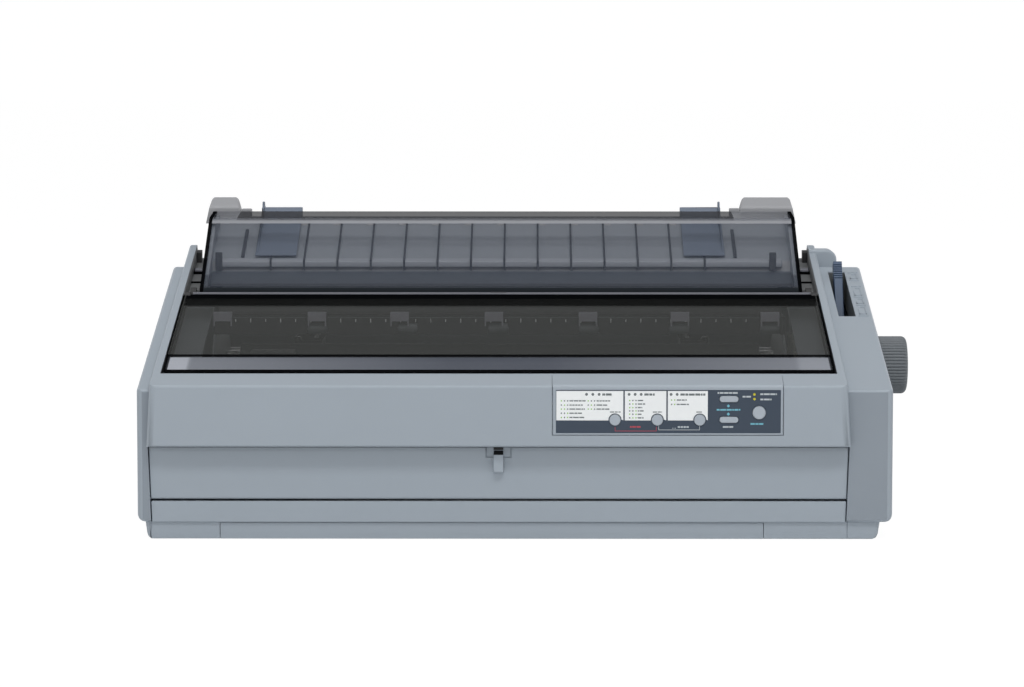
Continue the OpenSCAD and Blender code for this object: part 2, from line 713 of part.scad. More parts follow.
// Cheek plates, pins, ribbed paper plate, rear deck and end domes
module paper_guide() {
    color(guide_grey) difference() {
        union() {
            for (x = [cheek_l, cheek_r - cheek_t]) across(x, x + cheek_t) polygon([
                [cover_axis_u - 3.7, cover_axis_z - 3.6], [cover_axis_u - 3.7, cover(cover_axis_u - 3.7) - 4],
                [cover_axis_u, cover(cover_axis_u) - 3.8],
                [cover_top_u - 2, cover(cover_top_u - 2) - 3.8], [cover_back_u, cover_back_z - 3.6],
                [cover_back_u, rear_deck_z - 6], [plate_u, plate(plate_u) - 10],
                [guide_axis_u + 10, deck(guide_axis_u + 10) - bay_depth + 2.5],
                [guide_axis_u, guide_axis_z - 4]]);
            rod_x(guide_l - ear_gap - ear_w + 0.3, cheek_l + 1, guide_axis_u, guide_axis_z, hinge_r);
            rod_x(cheek_r - 1, guide_r + ear_gap + ear_w - 0.3, guide_axis_u, guide_axis_z, hinge_r);
            across(cheek_l + 1, cheek_r - 1) polygon([[plate_u, plate(plate_u)],
                [cover_back_u, plate_back_z], [cover_back_u, rear_deck_z],
                [body_d - 2, rear_deck_z + 1], [body_d, rear_deck_z - 1], [body_d, rear_deck_z - 8],
                [body_d - 2, rear_deck_z - 8], [body_d - 2, rear_deck_z - 2],
                [cover_back_u, rear_deck_z - 3], [plate_u + 2, plate(plate_u) - 2.2],
                [plate_u + 2, plate(plate_u) - 11], [plate_u - 26, plate(plate_u) - 22],
                [plate_u - 27, plate(plate_u) - 20.5], [plate_u, plate(plate_u) - 9]]);
            for (i = [0:rib_count - 1])
                across(rib_start + i * rib_pitch - rib_t / 2, rib_start + i * rib_pitch + rib_t / 2)
                    polygon([[plate_u + 1, plate_z - 1], [plate_u + 1, plate_z + rib_h],
                        [cover_back_u + 1, plate_back_z + rib_h], [cover_back_u + 1, plate_back_z - 1]]);
            // Chute that leads single sheets down to the platen
            across(frame_l + 1, frame_r - 1) polygon([[chute_u, chute_z], [chute_u + 2.5, chute_z + 10],
                [plate_u - 26, plate(plate_u) - 20.5], [plate_u - 25, plate(plate_u) - 22.5],
                [chute_u + 4, chute_z + 8], [chute_u + 1.6, chute_z]]);
            // Rail that the edge guides slide on
            block(guide_l + 30, guide_r - 48, slide_u, slide_u + 4, rear_deck_z - 1, rear_deck_z + slide_h);
            dome(guide_l - 2.5, left_dome_w, 1);
            dome(guide_r, right_dome_w, -1);
            for (x = [cheek_l, cheek_r - cheek_t])
                block(x, x + cheek_t, cover_back_u - 1, body_d - 2, rear_deck_z - 6, rear_deck_z + 2);
        }
        for (x = [cheek_l - 1, cheek_r - cheek_t - 1])
            rod_x(x, x + cheek_t + 2, cover_axis_u, cover_axis_z, hinge_r - 0.5 + run_clear);
    }
}

// End dome: outer edge at x, top width w, leaning down on the inner side
module dome(x, w, side) {
    intersection() {
        along(cover_back_u + 1, body_d) polygon([
            [x - side * dome_flare, rear_deck_z - 3], [x, dome_top_z - 2], [x + side * 2, dome_top_z],
            [x + side * (w - 2), dome_top_z], [x + side * w, dome_top_z - 2],
            [x + side * (w + dome_lean), rear_deck_z + 1], [x + side * (w + dome_lean), rear_deck_z - 3]]);
        across(guide_l - 8, guide_r + 8) polygon([[cover_back_u + 1, rear_deck_z - 3],
            [cover_back_u + 1, dome_front_z - 2], [cover_back_u + 3, dome_front_z],
            [body_d - 4, dome_top_z], [body_d, dome_top_z - 4], [body_d, rear_deck_z - 3]]);
    }
}

// Sliding paper edge guide: a sole over the ribs, a channel on the slide rail, and an upright fin
module edge_guide(x0, fin_x) {
    sole_z = rib_h + gap;
    color(accent_blue) difference() {
        union() {
            across(x0, x0 + edge_guide_w) polygon([
                [plate_u + 4, plate(plate_u + 4) + sole_z], [plate_u + 4, plate(plate_u + 4) + sole_z + 1.5],
                [cover_back_u - 1, plate_back_z + sole_z + 1.5], [cover_back_u + 3, cover_back_z - 1],
                [cover_back_u + 5, cover_back_z + 3], [body_d - 6, cover_back_z + 3],
                [body_d - 5, rear_deck_z + 1.6], [cover_back_u + 1.5, rear_deck_z + 1.6],
                [cover_back_u, plate_back_z + sole_z]]);
            across(fin_x, fin_x + fin_t) polygon([
                [plate_u + 8, plate(plate_u + 8) + sole_z + 1],
                [plate_u + 8, plate(plate_u + 8) + sole_z + 2.6],
                [cover_back_u - 4, plate_back_z + sole_z + 2.8], [cover_back_u + 2, cover_back_z - 2],
                [cover_back_u + 3, cover_back_z + 6], [cover_back_u + 5, cover_back_z + 8.5],
                [body_d - 8, cover_back_z + 8], [body_d - 6.6, cover_back_z + 6],
                [body_d - 6.6, rear_deck_z + 4], [cover_back_u + 3, rear_deck_z + 4]]);
        }
        block(x0 - 1, x0 + edge_guide_w + 1, slide_u - gap, slide_u + 4 + gap, 0,
            rear_deck_z + slide_h + gap);
    }
}

module edge_guide_left() {
    edge_guide(edge_guide_l, edge_guide_l + 0.6);
}

module edge_guide_right() {
    edge_guide(edge_guide_r - edge_guide_w, edge_guide_r - fin_t - 0.6);
}

// ---- Control panel ----

module pill(x, z, u0, u1, w, h) {
    block(x - (w - h) / 2, x + (w - h) / 2, u0, u1, z - h / 2, z + h / 2);
    for (side = [-1, 1]) rod_y(x + side * (w - h) / 2, z, u0, u1, h / 2);
}

// Holes for the buttons and lights, from u0 to u1
module panel_holes(u0, u1) {
    for (x = key_xs) rod_y(x, key_z, u0, u1, key_r);
    for (z = pill_zs) pill(pill_x, z, u0, u1, pill_w, pill_h);
    rod_y(pause_spot[0], pause_spot[1], u0, u1, pause_r);
    for (spot = light_spots) rod_y(spot[0], spot[1], u0, u1, light_r + 0.15);
}

module panel_bezel() {
    color(case_grey) {
        difference() {
            across(panel_l, panel_r) polygon([[0, panel_z], [0, face_h - 1.5], [1.5, deck(1.5)],
                [panel_back_u, deck(panel_back_u)], [panel_back_u, deck(panel_back_u) - slope_t(wall)],
                [wall, deck(wall) - slope_t(wall)], [wall, panel_z]]);
            block(overlay_l - 0.1, overlay_r + 0.1, -1, overlay_t, overlay_z0 - 0.1, overlay_z1 + 0.1);
            panel_holes(-1, wall + 1);
        }
        for (x = [panel_l + 8, panel_r - 8], z = [panel_z + 5, panel_z + 32])
            rod_y(x, z, wall - 0.5, board_u, 2);
    }
}

module panel_overlay() {
    color(slate) difference() {
        block(overlay_l, overlay_r, 0, overlay_t, overlay_z0, overlay_z1);
        panel_holes(-1, overlay_t + 1);
    }
}

module panel_board() {
    color(board_green) block(panel_l + 5, panel_r - 5, board_u, board_u + board_t,
        panel_z + 2, panel_z + 35);
}

module indicator_lights() {
    color("gold") for (spot = light_spots) rod_y(spot[0], spot[1], 0.1, board_u, light_r);
}

module round_button(x, z, r) {
    color(button_grey) {
        rod_y(x, z, -key_out, wall + 1.8, r - button_gap);
        rod_y(x, z, wall + gap, wall + 1.8, r + 1.2);
        rod_y(x, z, wall + 1, board_u - button_travel - gap, 1.5);
    }
}

module pill_button(z) {
    color(button_grey) {
        pill(pill_x, z, -key_out, wall + 1.8, pill_w - 2 * button_gap, pill_h - 2 * button_gap);
        pill(pill_x, z, wall + gap, wall + 1.8, pill_w + 1.6, pill_h + 1.6);
        rod_y(pill_x, z, wall + 1, board_u - button_travel - gap, 1.5);
    }
}

module button_font() {
    round_button(key_xs[0], key_z, key_r);
}

module button_pitch() {
    round_button(key_xs[1], key_z, key_r);
}

module button_tear_off() {
    round_button(key_xs[2], key_z, key_r);
}

module button_load_eject() {
    pill_button(pill_zs[0]);
}

module button_line_feed() {
    pill_button(pill_zs[1]);
}

module button_pause() {
    round_button(pause_spot[0], pause_spot[1], pause_r);
}

// ---- Lever and platen ----

module paper_release_lever() {
    color(accent_blue) difference() {
        union() {
            rod_x(lever_x, lever_x + lever_w, lever_u, lever_z, lever_hub_r);
            across(lever_x, lever_x + lever_w) translate([lever_u, lever_z]) rotate(90 - lever_lean)
                polygon(concat([[0, -lever_half], [0, lever_half]],
                    arc(lever_len - 3, lever_half - 3, 3, 90, 0),
                    arc(lever_len - 3, 3 - lever_half, 3, 0, -90)));
        }
        rod_x(lever_x - 1, lever_x + lever_w + 1, lever_u, lever_z, lever_pin_r + run_clear);
    }
}

module platen_knob() {
    color(knob_grey) difference() {
        union() {
            rod_x(xr + 1, xr + knob_out - 3, platen_u, platen_z, knob_r - 0.8);
            rod_x(xr + knob_out - 3.5, xr + knob_out, platen_u, platen_z, knob_r - 3);
            for (i = [0:knob_ridges - 1]) let (a = i * 360 / knob_ridges)
                rod_x(xr + 1, xr + knob_out - 3, platen_u + (knob_r - 0.8) * cos(a),
                    platen_z + (knob_r - 0.8) * sin(a), 0.8, $fn = 12);
        }
        rod_x(xr, xr + knob_out - 8, platen_u, platen_z, shaft_r);
        rod_x(xr + knob_out - 5, xr + knob_out + 1, platen_u, platen_z, knob_r - 6);
    }
}

module platen_shaft() {
    color(steel) rod_x(frame_l - 4, xr + knob_out - 8, platen_u, platen_z, shaft_r);
}

module platen_roller() {
    color(rubber) difference() {
        rod_x(roller_l, roller_r, platen_u, platen_z, platen_r);
        rod_x(roller_l - 1, roller_r + 1, platen_u, platen_z, shaft_r);
    }
}

module platen_gear() {
    color(gear_white) gear(gear_x, platen_u, platen_z, platen_teeth, 0, shaft_r);
}

module platen_bushes() {
    color(black_plastic) for (x = [frame_l - 1, frame_r - frame_t - 1]) difference() {
        union() {
            rod_x(x, x + bush_t, platen_u, platen_z, bush_r);
            rod_x(x + 1 + frame_t, x + bush_t, platen_u, platen_z, bush_r + 2);
        }
        rod_x(x - 1, x + bush_t + 1, platen_u, platen_z, shaft_r + run_clear);
    }
}

// ---- Frame ----

module main_frame() {
    color(plated) difference() {
        union() {
            block(frame_l, frame_r, pan_u0, pan_u1, pan_z, deck_z);
            for (u = [pan_u0, pan_u1 - frame_t])
                block(frame_l, frame_r, u, u + frame_t, pan_z, deck_z + 4);
            // Board posts, and the idler pulley's post and pin
            for (x = [port_l + 6, port_l + port_w - 6], u = [pan_u1 - 86, pan_u1 - 14])
                rod_z(x, u, deck_z - 1, board_z, 3);
            rod_z(pulley_rx, belt_u, deck_z - 1, belt_z - belt_w / 2 - 3, 9);
            rod_z(pulley_rx, belt_u, deck_z, belt_z + belt_w / 2 + 4, pin_r);
        }
        for (i = [0:9]) block(frame_l + 170 + i * 14, frame_l + 176 + i * 14, 215, 255, 0, deck_z + 1);
    }
}

// Side plate with the bores that both plates share
module side_plate(x) {
    difference() {
        across(x, x + frame_t) polygon([[72, deck_z], [72, platen_z - 22], [104, platen_z],
            [platen_u - 40, platen_z + 10], [platen_u - 20, frame_top_z], [platen_u + 24, frame_top_z],
            [support_u - 6, platen_z + 18], [support_u + 14, platen_z + 8], [support_u + 14, deck_z]]);
        rod_x(x - 1, x + frame_t + 1, platen_u, platen_z, bush_r);
        rod_x(x - 1, x + frame_t + 1, rod_u, rod_z, rod_r);
        rod_x(x - 1, x + frame_t + 1, tractor_u, platen_z, tractor_shaft_r + run_clear);
        rod_x(x - 1, x + frame_t + 1, support_u, platen_z, support_r);
        across(x - 1, x + frame_t + 1) polygon([[96, 44], [96, 66], [140, 66], [140, 44]]);
        across(x - 1, x + frame_t + 1) polygon([[238, 44], [238, 84], [300, 84], [300, 44]]);
    }
}

module left_side_frame() {
    color(plated) side_plate(frame_l);
}

module right_side_frame() {
    stud_end = gear_x + gear_w + 2;
    color(plated) {
        difference() {
            side_plate(frame_r - frame_t);
            rod_x(frame_r - frame_t - 1, frame_r + 1, reduction_u, pinion_z, 8);
        }
        rod_x(frame_r - 0.5, stud_end, reduction_u, reduction_z, pin_r);
        rod_x(frame_r - 0.5, stud_end, transfer_u, platen_z, pin_r);
        for (spot = [[reduction_u, reduction_z], [transfer_u, platen_z]])
            rod_x(frame_r - 0.5, gear_x - gap, spot[0], spot[1], pin_r + 2);
        rod_x(frame_r - 0.5, lever_x + lever_w + 2, lever_u, lever_z, lever_pin_r);
        rod_x(frame_r - 0.5, lever_x - gap, lever_u, lever_z, lever_pin_r + 1.5);
    }
}

module carriage_rod() {
    color(steel) rod_x(frame_l - 4, frame_r + 4, rod_u, rod_z, rod_r);
}

module carriage_rail() {
    color(steel) block(frame_l + frame_t, frame_r - frame_t, rail_u, rail_u + rail_d,
        rail_z, rail_z + rail_t);
}

// ---- Carriage, head and ribbon ----

module carriage() {
    x0 = carriage_x - carriage_w / 2;
    x1 = carriage_x + carriage_w / 2;
    color(black_plastic) difference() {
        union() {
            across(x0, x1) polygon([[carriage_u0, carriage_z0], [carriage_u0, carriage_z1],
                [carriage_u1, carriage_z1], [carriage_u1, rail_z - 5], [rail_u - 6, rail_z - 5],
                [rail_u - 6, carriage_z0]]);
            // Belt clamp
            block(carriage_x - 10, carriage_x + 10, belt_u + pulley_r - 3, carriage_u0 + 1,
                carriage_z0 + 0.4, carriage_z0 + belt_w + 8);
        }
        rod_x(x0 - 1, x1 + 1, rod_u, rod_z, rod_r + run_clear);
        block(x0 - 1, x1 + 1, rail_u - gap, carriage_u1 + 1, rail_z - gap, rail_z + rail_t + gap);
        block(carriage_x - 11, carriage_x + 11, belt_u + pulley_r, belt_u + pulley_r + belt_t + 2 * gap,
            0, belt_z + belt_w / 2 + gap);
    }
}

module print_head() {
    x0 = carriage_x - head_w / 2;
    x1 = carriage_x + head_w / 2;
    color([0.16, 0.16, 0.17]) difference() {
        union() {
            block(x0, x1, head_u0, carriage_u1, carriage_z1, head_z1);
            rod_y(carriage_x, platen_z, carriage_u1 - 1, nose_u, nose_r);
            block(carriage_x - 9, carriage_x + 9, carriage_u1 - 1, carriage_u1 + 7,
                platen_z - 9, platen_z + 9);
        }
        for (i = [0:5]) block(x0 - 1, x1 + 1, head_u0 + 3 + i * 4.6, head_u0 + 5.4 + i * 4.6,
            head_z1 - 14, head_z1 + 1);
    }
}

module carriage_motor() {
    color(steel) difference() {
        union() {
            rod_z(pulley_l, belt_u, deck_z, belt_z - 13, motor_r);
            rod_z(pulley_l, belt_u, belt_z - 14, belt_z - 10, 8);
        }
        rod_z(pulley_l, belt_u, belt_z - 28, belt_z - 9, motor_shaft_r + run_clear);
    }
}

// Flanged pulley body for the timing belt
module pulley(x) {
    rod_z(x, belt_u, belt_z - belt_w / 2 - gap, belt_z + belt_w / 2 + gap, pulley_r);
    for (z = [belt_z - belt_w / 2 - gap - flange_t, belt_z + belt_w / 2 + gap])
        rod_z(x, belt_u, z, z + flange_t, pulley_r + 2.5);
}

module drive_pulley() {
    color(steel) {
        pulley(pulley_l);
        rod_z(pulley_l, belt_u, belt_z - 26, belt_z + 5, motor_shaft_r);
    }
}

module idler_pulley() {
    color(black_plastic) difference() {
        pulley(pulley_rx);
        rod_z(pulley_rx, belt_u, belt_z - 10, belt_z + 10, pin_r + run_clear);
    }
}

// Racetrack outline of the belt, r from the pulley axes
module belt_loop(r, z0, z1) {
    block(pulley_l, pulley_rx, belt_u - r, belt_u + r, z0, z1);
    for (x = [pulley_l, pulley_rx]) rod_z(x, belt_u, z0, z1, r);
}

module timing_belt() {
    z0 = belt_z - belt_w / 2;
    color(rubber) difference() {
        belt_loop(pulley_r + gap + belt_t, z0, z0 + belt_w);
        belt_loop(pulley_r + gap, z0 - 1, z0 + belt_w + 1);
    }
}

module ribbon_cartridge() {
    z1 = ribbon_z + ribbon_h;
    color(black_plastic) difference() {
        union() {
            block(ribbon_l, ribbon_r, ribbon_u0, ribbon_u1, ribbon_z, z1);
            for (x = [ribbon_l, ribbon_r - ribbon_arm]) {
                block(x, x + ribbon_arm, ribbon_u1 - 1, nose_u, ribbon_z + 2, z1 - 2);
                block(x, x + ribbon_arm, nose_u - 1, nose_u + 2, platen_z - 9, z1 - 2);
            }
        }
        rod_z(ribbon_knob_x, ribbon_knob_u, z1 - 12, z1 + 1, 3);
    }
}

module ink_ribbon() {
    color("black") block(ribbon_l + ribbon_arm, ribbon_r - ribbon_arm, nose_u + 0.6, nose_u + 0.9,
        platen_z - 6, platen_z + 7);
}

module ribbon_knob() {
    z1 = ribbon_z + ribbon_h;
    color(accent_blue) {
        rod_z(ribbon_knob_x, ribbon_knob_u, z1 + gap, z1 + 5, ribbon_knob_r);
        rod_z(ribbon_knob_x, ribbon_knob_u, z1 - 11.5, z1 + 1, 3 - run_clear);
        block(ribbon_knob_x - 8, ribbon_knob_x + 8, ribbon_knob_u - 1.5, ribbon_knob_u + 1.5,
            z1 + 4.5, z1 + 8);
    }
}

// ---- Tension unit, paper pan and feed gears ----

star_first = ribbon_l + 83.5;
star_step = (ribbon_r - 8.5 - star_first) / (star_count - 1);
star_xs = [for (i = [0:star_count - 1]) star_first + i * star_step];

module tension_unit() {
    z1 = tension_z + tension_h;
    color(black_plastic) difference() {
        block(frame_l, frame_r, tension_u0, tension_u1, tension_z, z1);
        // Windows for the star rollers, and the paper's way out behind them
        for (x = star_xs) block(x - star_w / 2 - 1, x + star_w / 2 + 1, tension_u0 - 1,
            star_u + star_r + 1, tension_z - 1, z1 + 1);
        block(frame_l + 6, frame_r - 6, tension_u0 + 13, tension_u1 - 4, tension_z - 1, z1 + 1);
        block(frame_l + 6, frame_r - 6, tension_u0 + 2.5, tension_u1 - 4, tension_z - 1, z1 - 5);
        rod_x(frame_l + 3, frame_r - 3, star_u, star_z, star_shaft_r + run_clear);
    }
}

module tension_rollers() {
    color(knob_grey) {
        rod_x(frame_l + 3.2, frame_r - 3.2, star_u, star_z, star_shaft_r);
        for (x = star_xs) rod_x(x - star_w / 2, x + star_w / 2, star_u, star_z, star_r);
    }
}

module paper_pan() {
    color(plated) across(frame_l + frame_t, frame_r - frame_t) polygon(concat(
        arc(platen_u, platen_z, platen_r + 2.2, 215, 330, 16),
        arc(platen_u, platen_z, platen_r + 1.2, 330, 215, 16)));
}

module feed_motor() {
    x1 = frame_r - frame_t;
    color(steel) difference() {
        union() {
            rod_x(x1 - motor_len, x1, reduction_u, pinion_z, motor_r);
            rod_x(x1 - 1, x1 + frame_t + 1, reduction_u, pinion_z, 7);
        }
        rod_x(x1 - 16, x1 + frame_t + 2, reduction_u, pinion_z, motor_shaft_r + run_clear);
    }
}

module feed_pinion() {
    color(steel) {
        gear(gear_x, reduction_u, pinion_z, pinion_teeth, pinion_turn, 1);
        rod_x(frame_r - frame_t - 14, gear_x + gear_w + 1, reduction_u, pinion_z, motor_shaft_r);
    }
}

module reduction_gear() {
    color(gear_white) gear(gear_x, reduction_u, reduction_z, reduction_teeth, reduction_turn,
        pin_r + run_clear);
}

module transfer_gear() {
    color(gear_white) gear(gear_x, transfer_u, platen_z, transfer_teeth, transfer_turn,
        pin_r + run_clear);
}

// ---- Tractors ----

module tractor_shaft() {
    color(steel) {
        rod_x(frame_l - 3, gear_x + gear_w + 2, tractor_u, platen_z, tractor_shaft_r);
        gear(gear_x, tractor_u, platen_z, platen_teeth, tractor_turn, 2);
    }
}

module tractor_support_rod() {
    color(steel) rod_x(frame_l - 3, frame_r + 3, support_u, platen_z, support_r);
}

// Tractor at x; its flap is hinged on the outer side
module tractor(x, side) {
    pin_x = x - side * 3;
    color(black_plastic) difference() {
        union() {
            block(x - tractor_w / 2, x + tractor_w / 2, tractor_u0, tractor_u1, tractor_z0, tractor_z1);
            for (u = [tractor_u0, tractor_u1 - flap_ear])
                along(u, u + flap_ear) polygon([[x + side * (tractor_w / 2 - 1), tractor_z1 - 9],
                    [x + side * (flap_axis_out + 2.6), tractor_z1 - 3],
                    [x + side * (flap_axis_out + 2.6), flap_axis_z + 2.6],
                    [x + side * (flap_axis_out - 2.2), flap_axis_z + 2.6],
                    [x + side * (tractor_w / 2 - 1), tractor_z1 - 1]]);
            for (i = [0:pin_count - 1])
                rod_z(pin_x, pin_u0 + i * pin_pitch, tractor_z1 - 1, tractor_z1 + 2, 1.9);
        }
        rod_x(x - 30, x + 30, tractor_u, platen_z, tractor_shaft_r + gap);
        rod_x(x - 30, x + 30, support_u, platen_z, support_r + run_clear);
        for (u = [tractor_u0 - 1, tractor_u1 - flap_ear - 1])
            rod_y(x + side * flap_axis_out, flap_axis_z, u, u + flap_ear + 2, flap_pin_r + run_clear);
    }
}

module tractor_flap(x, side) {
    u0 = tractor_u0 + flap_ear + gap;
    u1 = tractor_u1 - flap_ear - gap;
    z0 = tractor_z1 + gap;
    hinge_x = x + side * flap_axis_out;
    inner_x = x - side * tractor_w / 2;
    color(smoke) {
        difference() {
            union() {
                block(min(inner_x, hinge_x), max(inner_x, hinge_x), u0, u1, z0, z0 + flap_t);
                block(min(inner_x, x + side * 6), max(inner_x, x + side * 6), tractor_u0, tractor_u1,
                    z0, z0 + flap_t);
            }
            block(x - side * 3 - 3, x - side * 3 + 3, tractor_u0 + 3, tractor_u1 - 5,
                z0 - 1, z0 + flap_t + 1);
        }
        rod_y(hinge_x, flap_axis_z, u0, u1, 2.3);
        rod_y(hinge_x, flap_axis_z, tractor_u0 + 0.3, tractor_u1 - 0.3, flap_pin_r);
    }
}

module tractor_left() {
    tractor(mech_x - tractor_spread, -1);
}

module tractor_right() {
    tractor(mech_x + tractor_spread, 1);
}

module tractor_cover_left() {
    tractor_flap(mech_x - tractor_spread, -1);
}

module tractor_cover_right() {
    tractor_flap(mech_x + tractor_spread, 1);
}

// ---- Electrical parts ----

module main_board() {
    color(board_green) {
        block(port_l - 60, port_l + port_w, pan_u1 - 95, pan_u1 - 5, board_z, board_z + 1.6);
        block(port_l, port_l + port_w, pan_u1 - 10, case_d - wall - 1, board_z, board_z + 1.6);
        for (i = [0:2]) block(port_l - 40 + i * 36, port_l - 18 + i * 36, pan_u1 - 70, pan_u1 - 48,
            board_z + 1, board_z + 5);
    }
}

module power_supply() {
    x0 = frame_l + frame_t + 2;
    color(plated) difference() {
        block(x0, x0 + 130, platen_u + 45, pan_u1 - 8, deck_z, deck_z + 46);
        for (i = [0:9]) block(x0 + 12 + i * 11, x0 + 17 + i * 11, platen_u + 55, pan_u1 - 18,
            deck_z + 44, deck_z + 47);
        block(x0 + 2, x0 + 128, platen_u + 47, pan_u1 - 10, deck_z + 2, deck_z + 44);
    }
}

module ac_inlet() {
    color(black_plastic) difference() {
        union() {
            block(inlet_l, inlet_l + inlet_w, case_d - 18, case_d + 1, inlet_z, inlet_z + inlet_h);
            block(inlet_l - 3, inlet_l + inlet_w + 3, case_d, case_d + 1.6, inlet_z - 2,
                inlet_z + inlet_h + 2);
        }
        block(inlet_l + 2, inlet_l + inlet_w - 2, case_d - 15, case_d + 2, inlet_z + 2,
            inlet_z + inlet_h - 2);
    }
    color(steel) for (x = [-7, 0, 7])
        block(inlet_l + inlet_w / 2 + x - 1, inlet_l + inlet_w / 2 + x + 1, case_d - 15.5, case_d - 2,
            inlet_z + inlet_h / 2 - 2, inlet_z + inlet_h / 2 + 2);
}

// Rocker, tipped to one of its two positions
module power_switch() {
    z = switch_z + switch_h / 2;
    color(black_plastic) {
        along(switch_u, switch_u + switch_w) translate([switch_axis_x, z]) rotate(switch_tip)
            polygon([[-5.7, -6.2], [-3.9, 0], [-5.7, 6.2], [3, 5], [3, -5]]);
        rod_y(switch_axis_x, z, switch_u - gap - 2.6, switch_u + switch_w + gap + 2.6, switch_pin_r);
    }
}

// Shield plate with the parallel, serial and USB sockets
module rear_connectors() {
    u1 = case_d;
    color(plated) difference() {
        union() {
            block(port_l, port_l + port_w, u1 - wall - 0.6, u1 - 0.6, port_z, port_z + port_h);
            block(port_l + 8, port_l + 66, u1 - 14, u1 + 3, port_z + 5, port_z + 19);
            block(port_l + 74, port_l + 88, u1 - 14, u1 + 3, port_z + 5, port_z + 17);
            block(port_l + 94, port_l + 113, u1 - 14, u1 + 2, port_z + 6, port_z + 16);
            block(port_l + 4, port_l + port_w - 4, u1 - 14, u1 - 6, port_z, port_z + 6);
        }
        block(port_l + 11, port_l + 63, u1 - 8, u1 + 4, port_z + 8, port_z + 16);
        block(port_l + 76, port_l + 86, u1 - 10, u1 + 4, port_z + 7, port_z + 15);
        block(port_l + 96, port_l + 111, u1 - 6, u1 + 4, port_z + 8, port_z + 14);
    }
}

upper_case();
lower_case();
front_sill();
base_front_panel();
rubber_feet();
case_screws();
front_cover();
printer_cover();
paper_guide();
paper_guide_cover();
edge_guide_left();
edge_guide_right();
panel_bezel();
panel_overlay();
panel_board();
indicator_lights();
button_font();
button_pitch();
button_tear_off();
button_load_eject();
button_line_feed();
button_pause();
paper_release_lever();
platen_knob();
platen_shaft();
platen_roller();
platen_gear();
platen_bushes();
main_frame();
left_side_frame();
right_side_frame();
carriage_rod();
carriage_rail();
carriage();
print_head();
carriage_motor();
drive_pulley();
idler_pulley();
timing_belt();
ribbon_cartridge();
ink_ribbon();
ribbon_knob();
tension_unit();
tension_rollers();
paper_pan();
feed_motor();
feed_pinion();
reduction_gear();
transfer_gear();
tractor_shaft();
tractor_support_rod();
tractor_left();
tractor_right();
tractor_cover_left();
tractor_cover_right();
main_board();
power_supply();
ac_inlet();
power_switch();
rear_connectors();
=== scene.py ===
"""Looks of the wide dot matrix printer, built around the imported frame.

Lengths are in millimetres, in the frame's own directions: x to the right, u back from the front face and
z up. at() turns them into the frame's metres.
"""
import json
import math

import bmesh
import bpy
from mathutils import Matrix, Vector


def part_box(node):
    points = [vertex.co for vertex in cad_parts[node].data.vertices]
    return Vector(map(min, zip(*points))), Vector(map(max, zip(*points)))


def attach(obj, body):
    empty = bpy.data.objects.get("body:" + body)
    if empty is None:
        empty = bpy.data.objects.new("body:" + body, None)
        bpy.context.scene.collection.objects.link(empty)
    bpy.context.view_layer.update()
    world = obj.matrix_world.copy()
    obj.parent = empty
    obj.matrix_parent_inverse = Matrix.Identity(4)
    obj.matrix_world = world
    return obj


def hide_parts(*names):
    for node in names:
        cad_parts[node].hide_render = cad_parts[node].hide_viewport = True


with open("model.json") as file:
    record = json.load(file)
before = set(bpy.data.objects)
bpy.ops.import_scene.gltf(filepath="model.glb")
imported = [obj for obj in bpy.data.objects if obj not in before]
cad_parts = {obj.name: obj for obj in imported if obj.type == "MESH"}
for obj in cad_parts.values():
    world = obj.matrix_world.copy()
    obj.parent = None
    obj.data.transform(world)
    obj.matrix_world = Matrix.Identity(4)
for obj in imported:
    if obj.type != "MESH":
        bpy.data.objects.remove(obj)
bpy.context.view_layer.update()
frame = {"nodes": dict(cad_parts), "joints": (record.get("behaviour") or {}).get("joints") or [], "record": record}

MM = 0.001
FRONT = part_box("upper_case")[0].y
NODES = frame["nodes"]
BODY_OF = {node: body for body, nodes in frame["record"]["behaviour"]["bodies"].items() for node in nodes}
SLOT_OF = {part["node"]: part["material_slot"] for part in frame["record"]["subparts"]}
JOINT = {joint["name"]: joint for joint in frame["joints"]}


def at(x, u, z):
    """Point in the frame, in metres."""
    return Vector((x * MM, FRONT + u * MM, z * MM))


def limits(node):
    """(x0, x1, u0, u1, z0, z1) of a CAD node, in millimetres."""
    lo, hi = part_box(node)
    return (lo.x / MM, hi.x / MM, (lo.y - FRONT) / MM, (hi.y - FRONT) / MM, lo.z / MM, hi.z / MM)


def axis_of(joint):
    """(x, u, z) of a joint's axis, in millimetres."""
    p = JOINT[joint]["pos_m"]
    return p[0] / MM, (p[1] - FRONT) / MM, p[2] / MM


# Case outline
XL, XR, _, CASE_D, SPLIT_Z, _ = limits("upper_case")
SILL_L, SILL_R, SILL_U = limits("front_sill")[:3]
LS = SILL_L - 0.7
RS = SILL_R + 0.7
RAIL_W = 6.5
LI = LS + RAIL_W
RI = RS - RAIL_W
MID = (LI + RI) / 2
LONG_EDGE = 300
FACE_H = 126
SLOPE = math.tan(math.radians(13.73))
SHOULDER_DROP = 8
COLUMN_U = SILL_U - 1.5
NOTCH_U = 60
OVERHANG_Z = 76
PEAK_U = CASE_D - 8
SHOULDER_END_U = CASE_D - 45
KNEE_Z = FACE_H - 4
BAY_U = 28
HUMP_W = 18
HUMP_ROUND = 9
HUMP_DROP = 2.5
LID_SIDE_GAP = 1.6
LID_BAND = 38
LID_RISE = 0.6
BAND_DROP = 1.5
PLATE_U, PLATE_Z = 297, 205.4
CREASE_U = 332
PLATE_RISE = 29.77 / 83
SLOT_X = RS + 8
SLOT_W = 14.5
SLOT_U = 194
SLOT_LEN = 120
LEVER_LEAN = 32.0057


def deck(u):
    """Height of the sloping top between the shoulders."""
    return FACE_H + u * SLOPE


def shoulder(u):
    """Height of the shoulders' tops."""
    return deck(u) - SHOULDER_DROP


def plate(u):
    """Height of the paper plate under the guide cover."""
    return PLATE_Z + (u - PLATE_U) * PLATE_RISE


# ---- Camera, light and floor ----

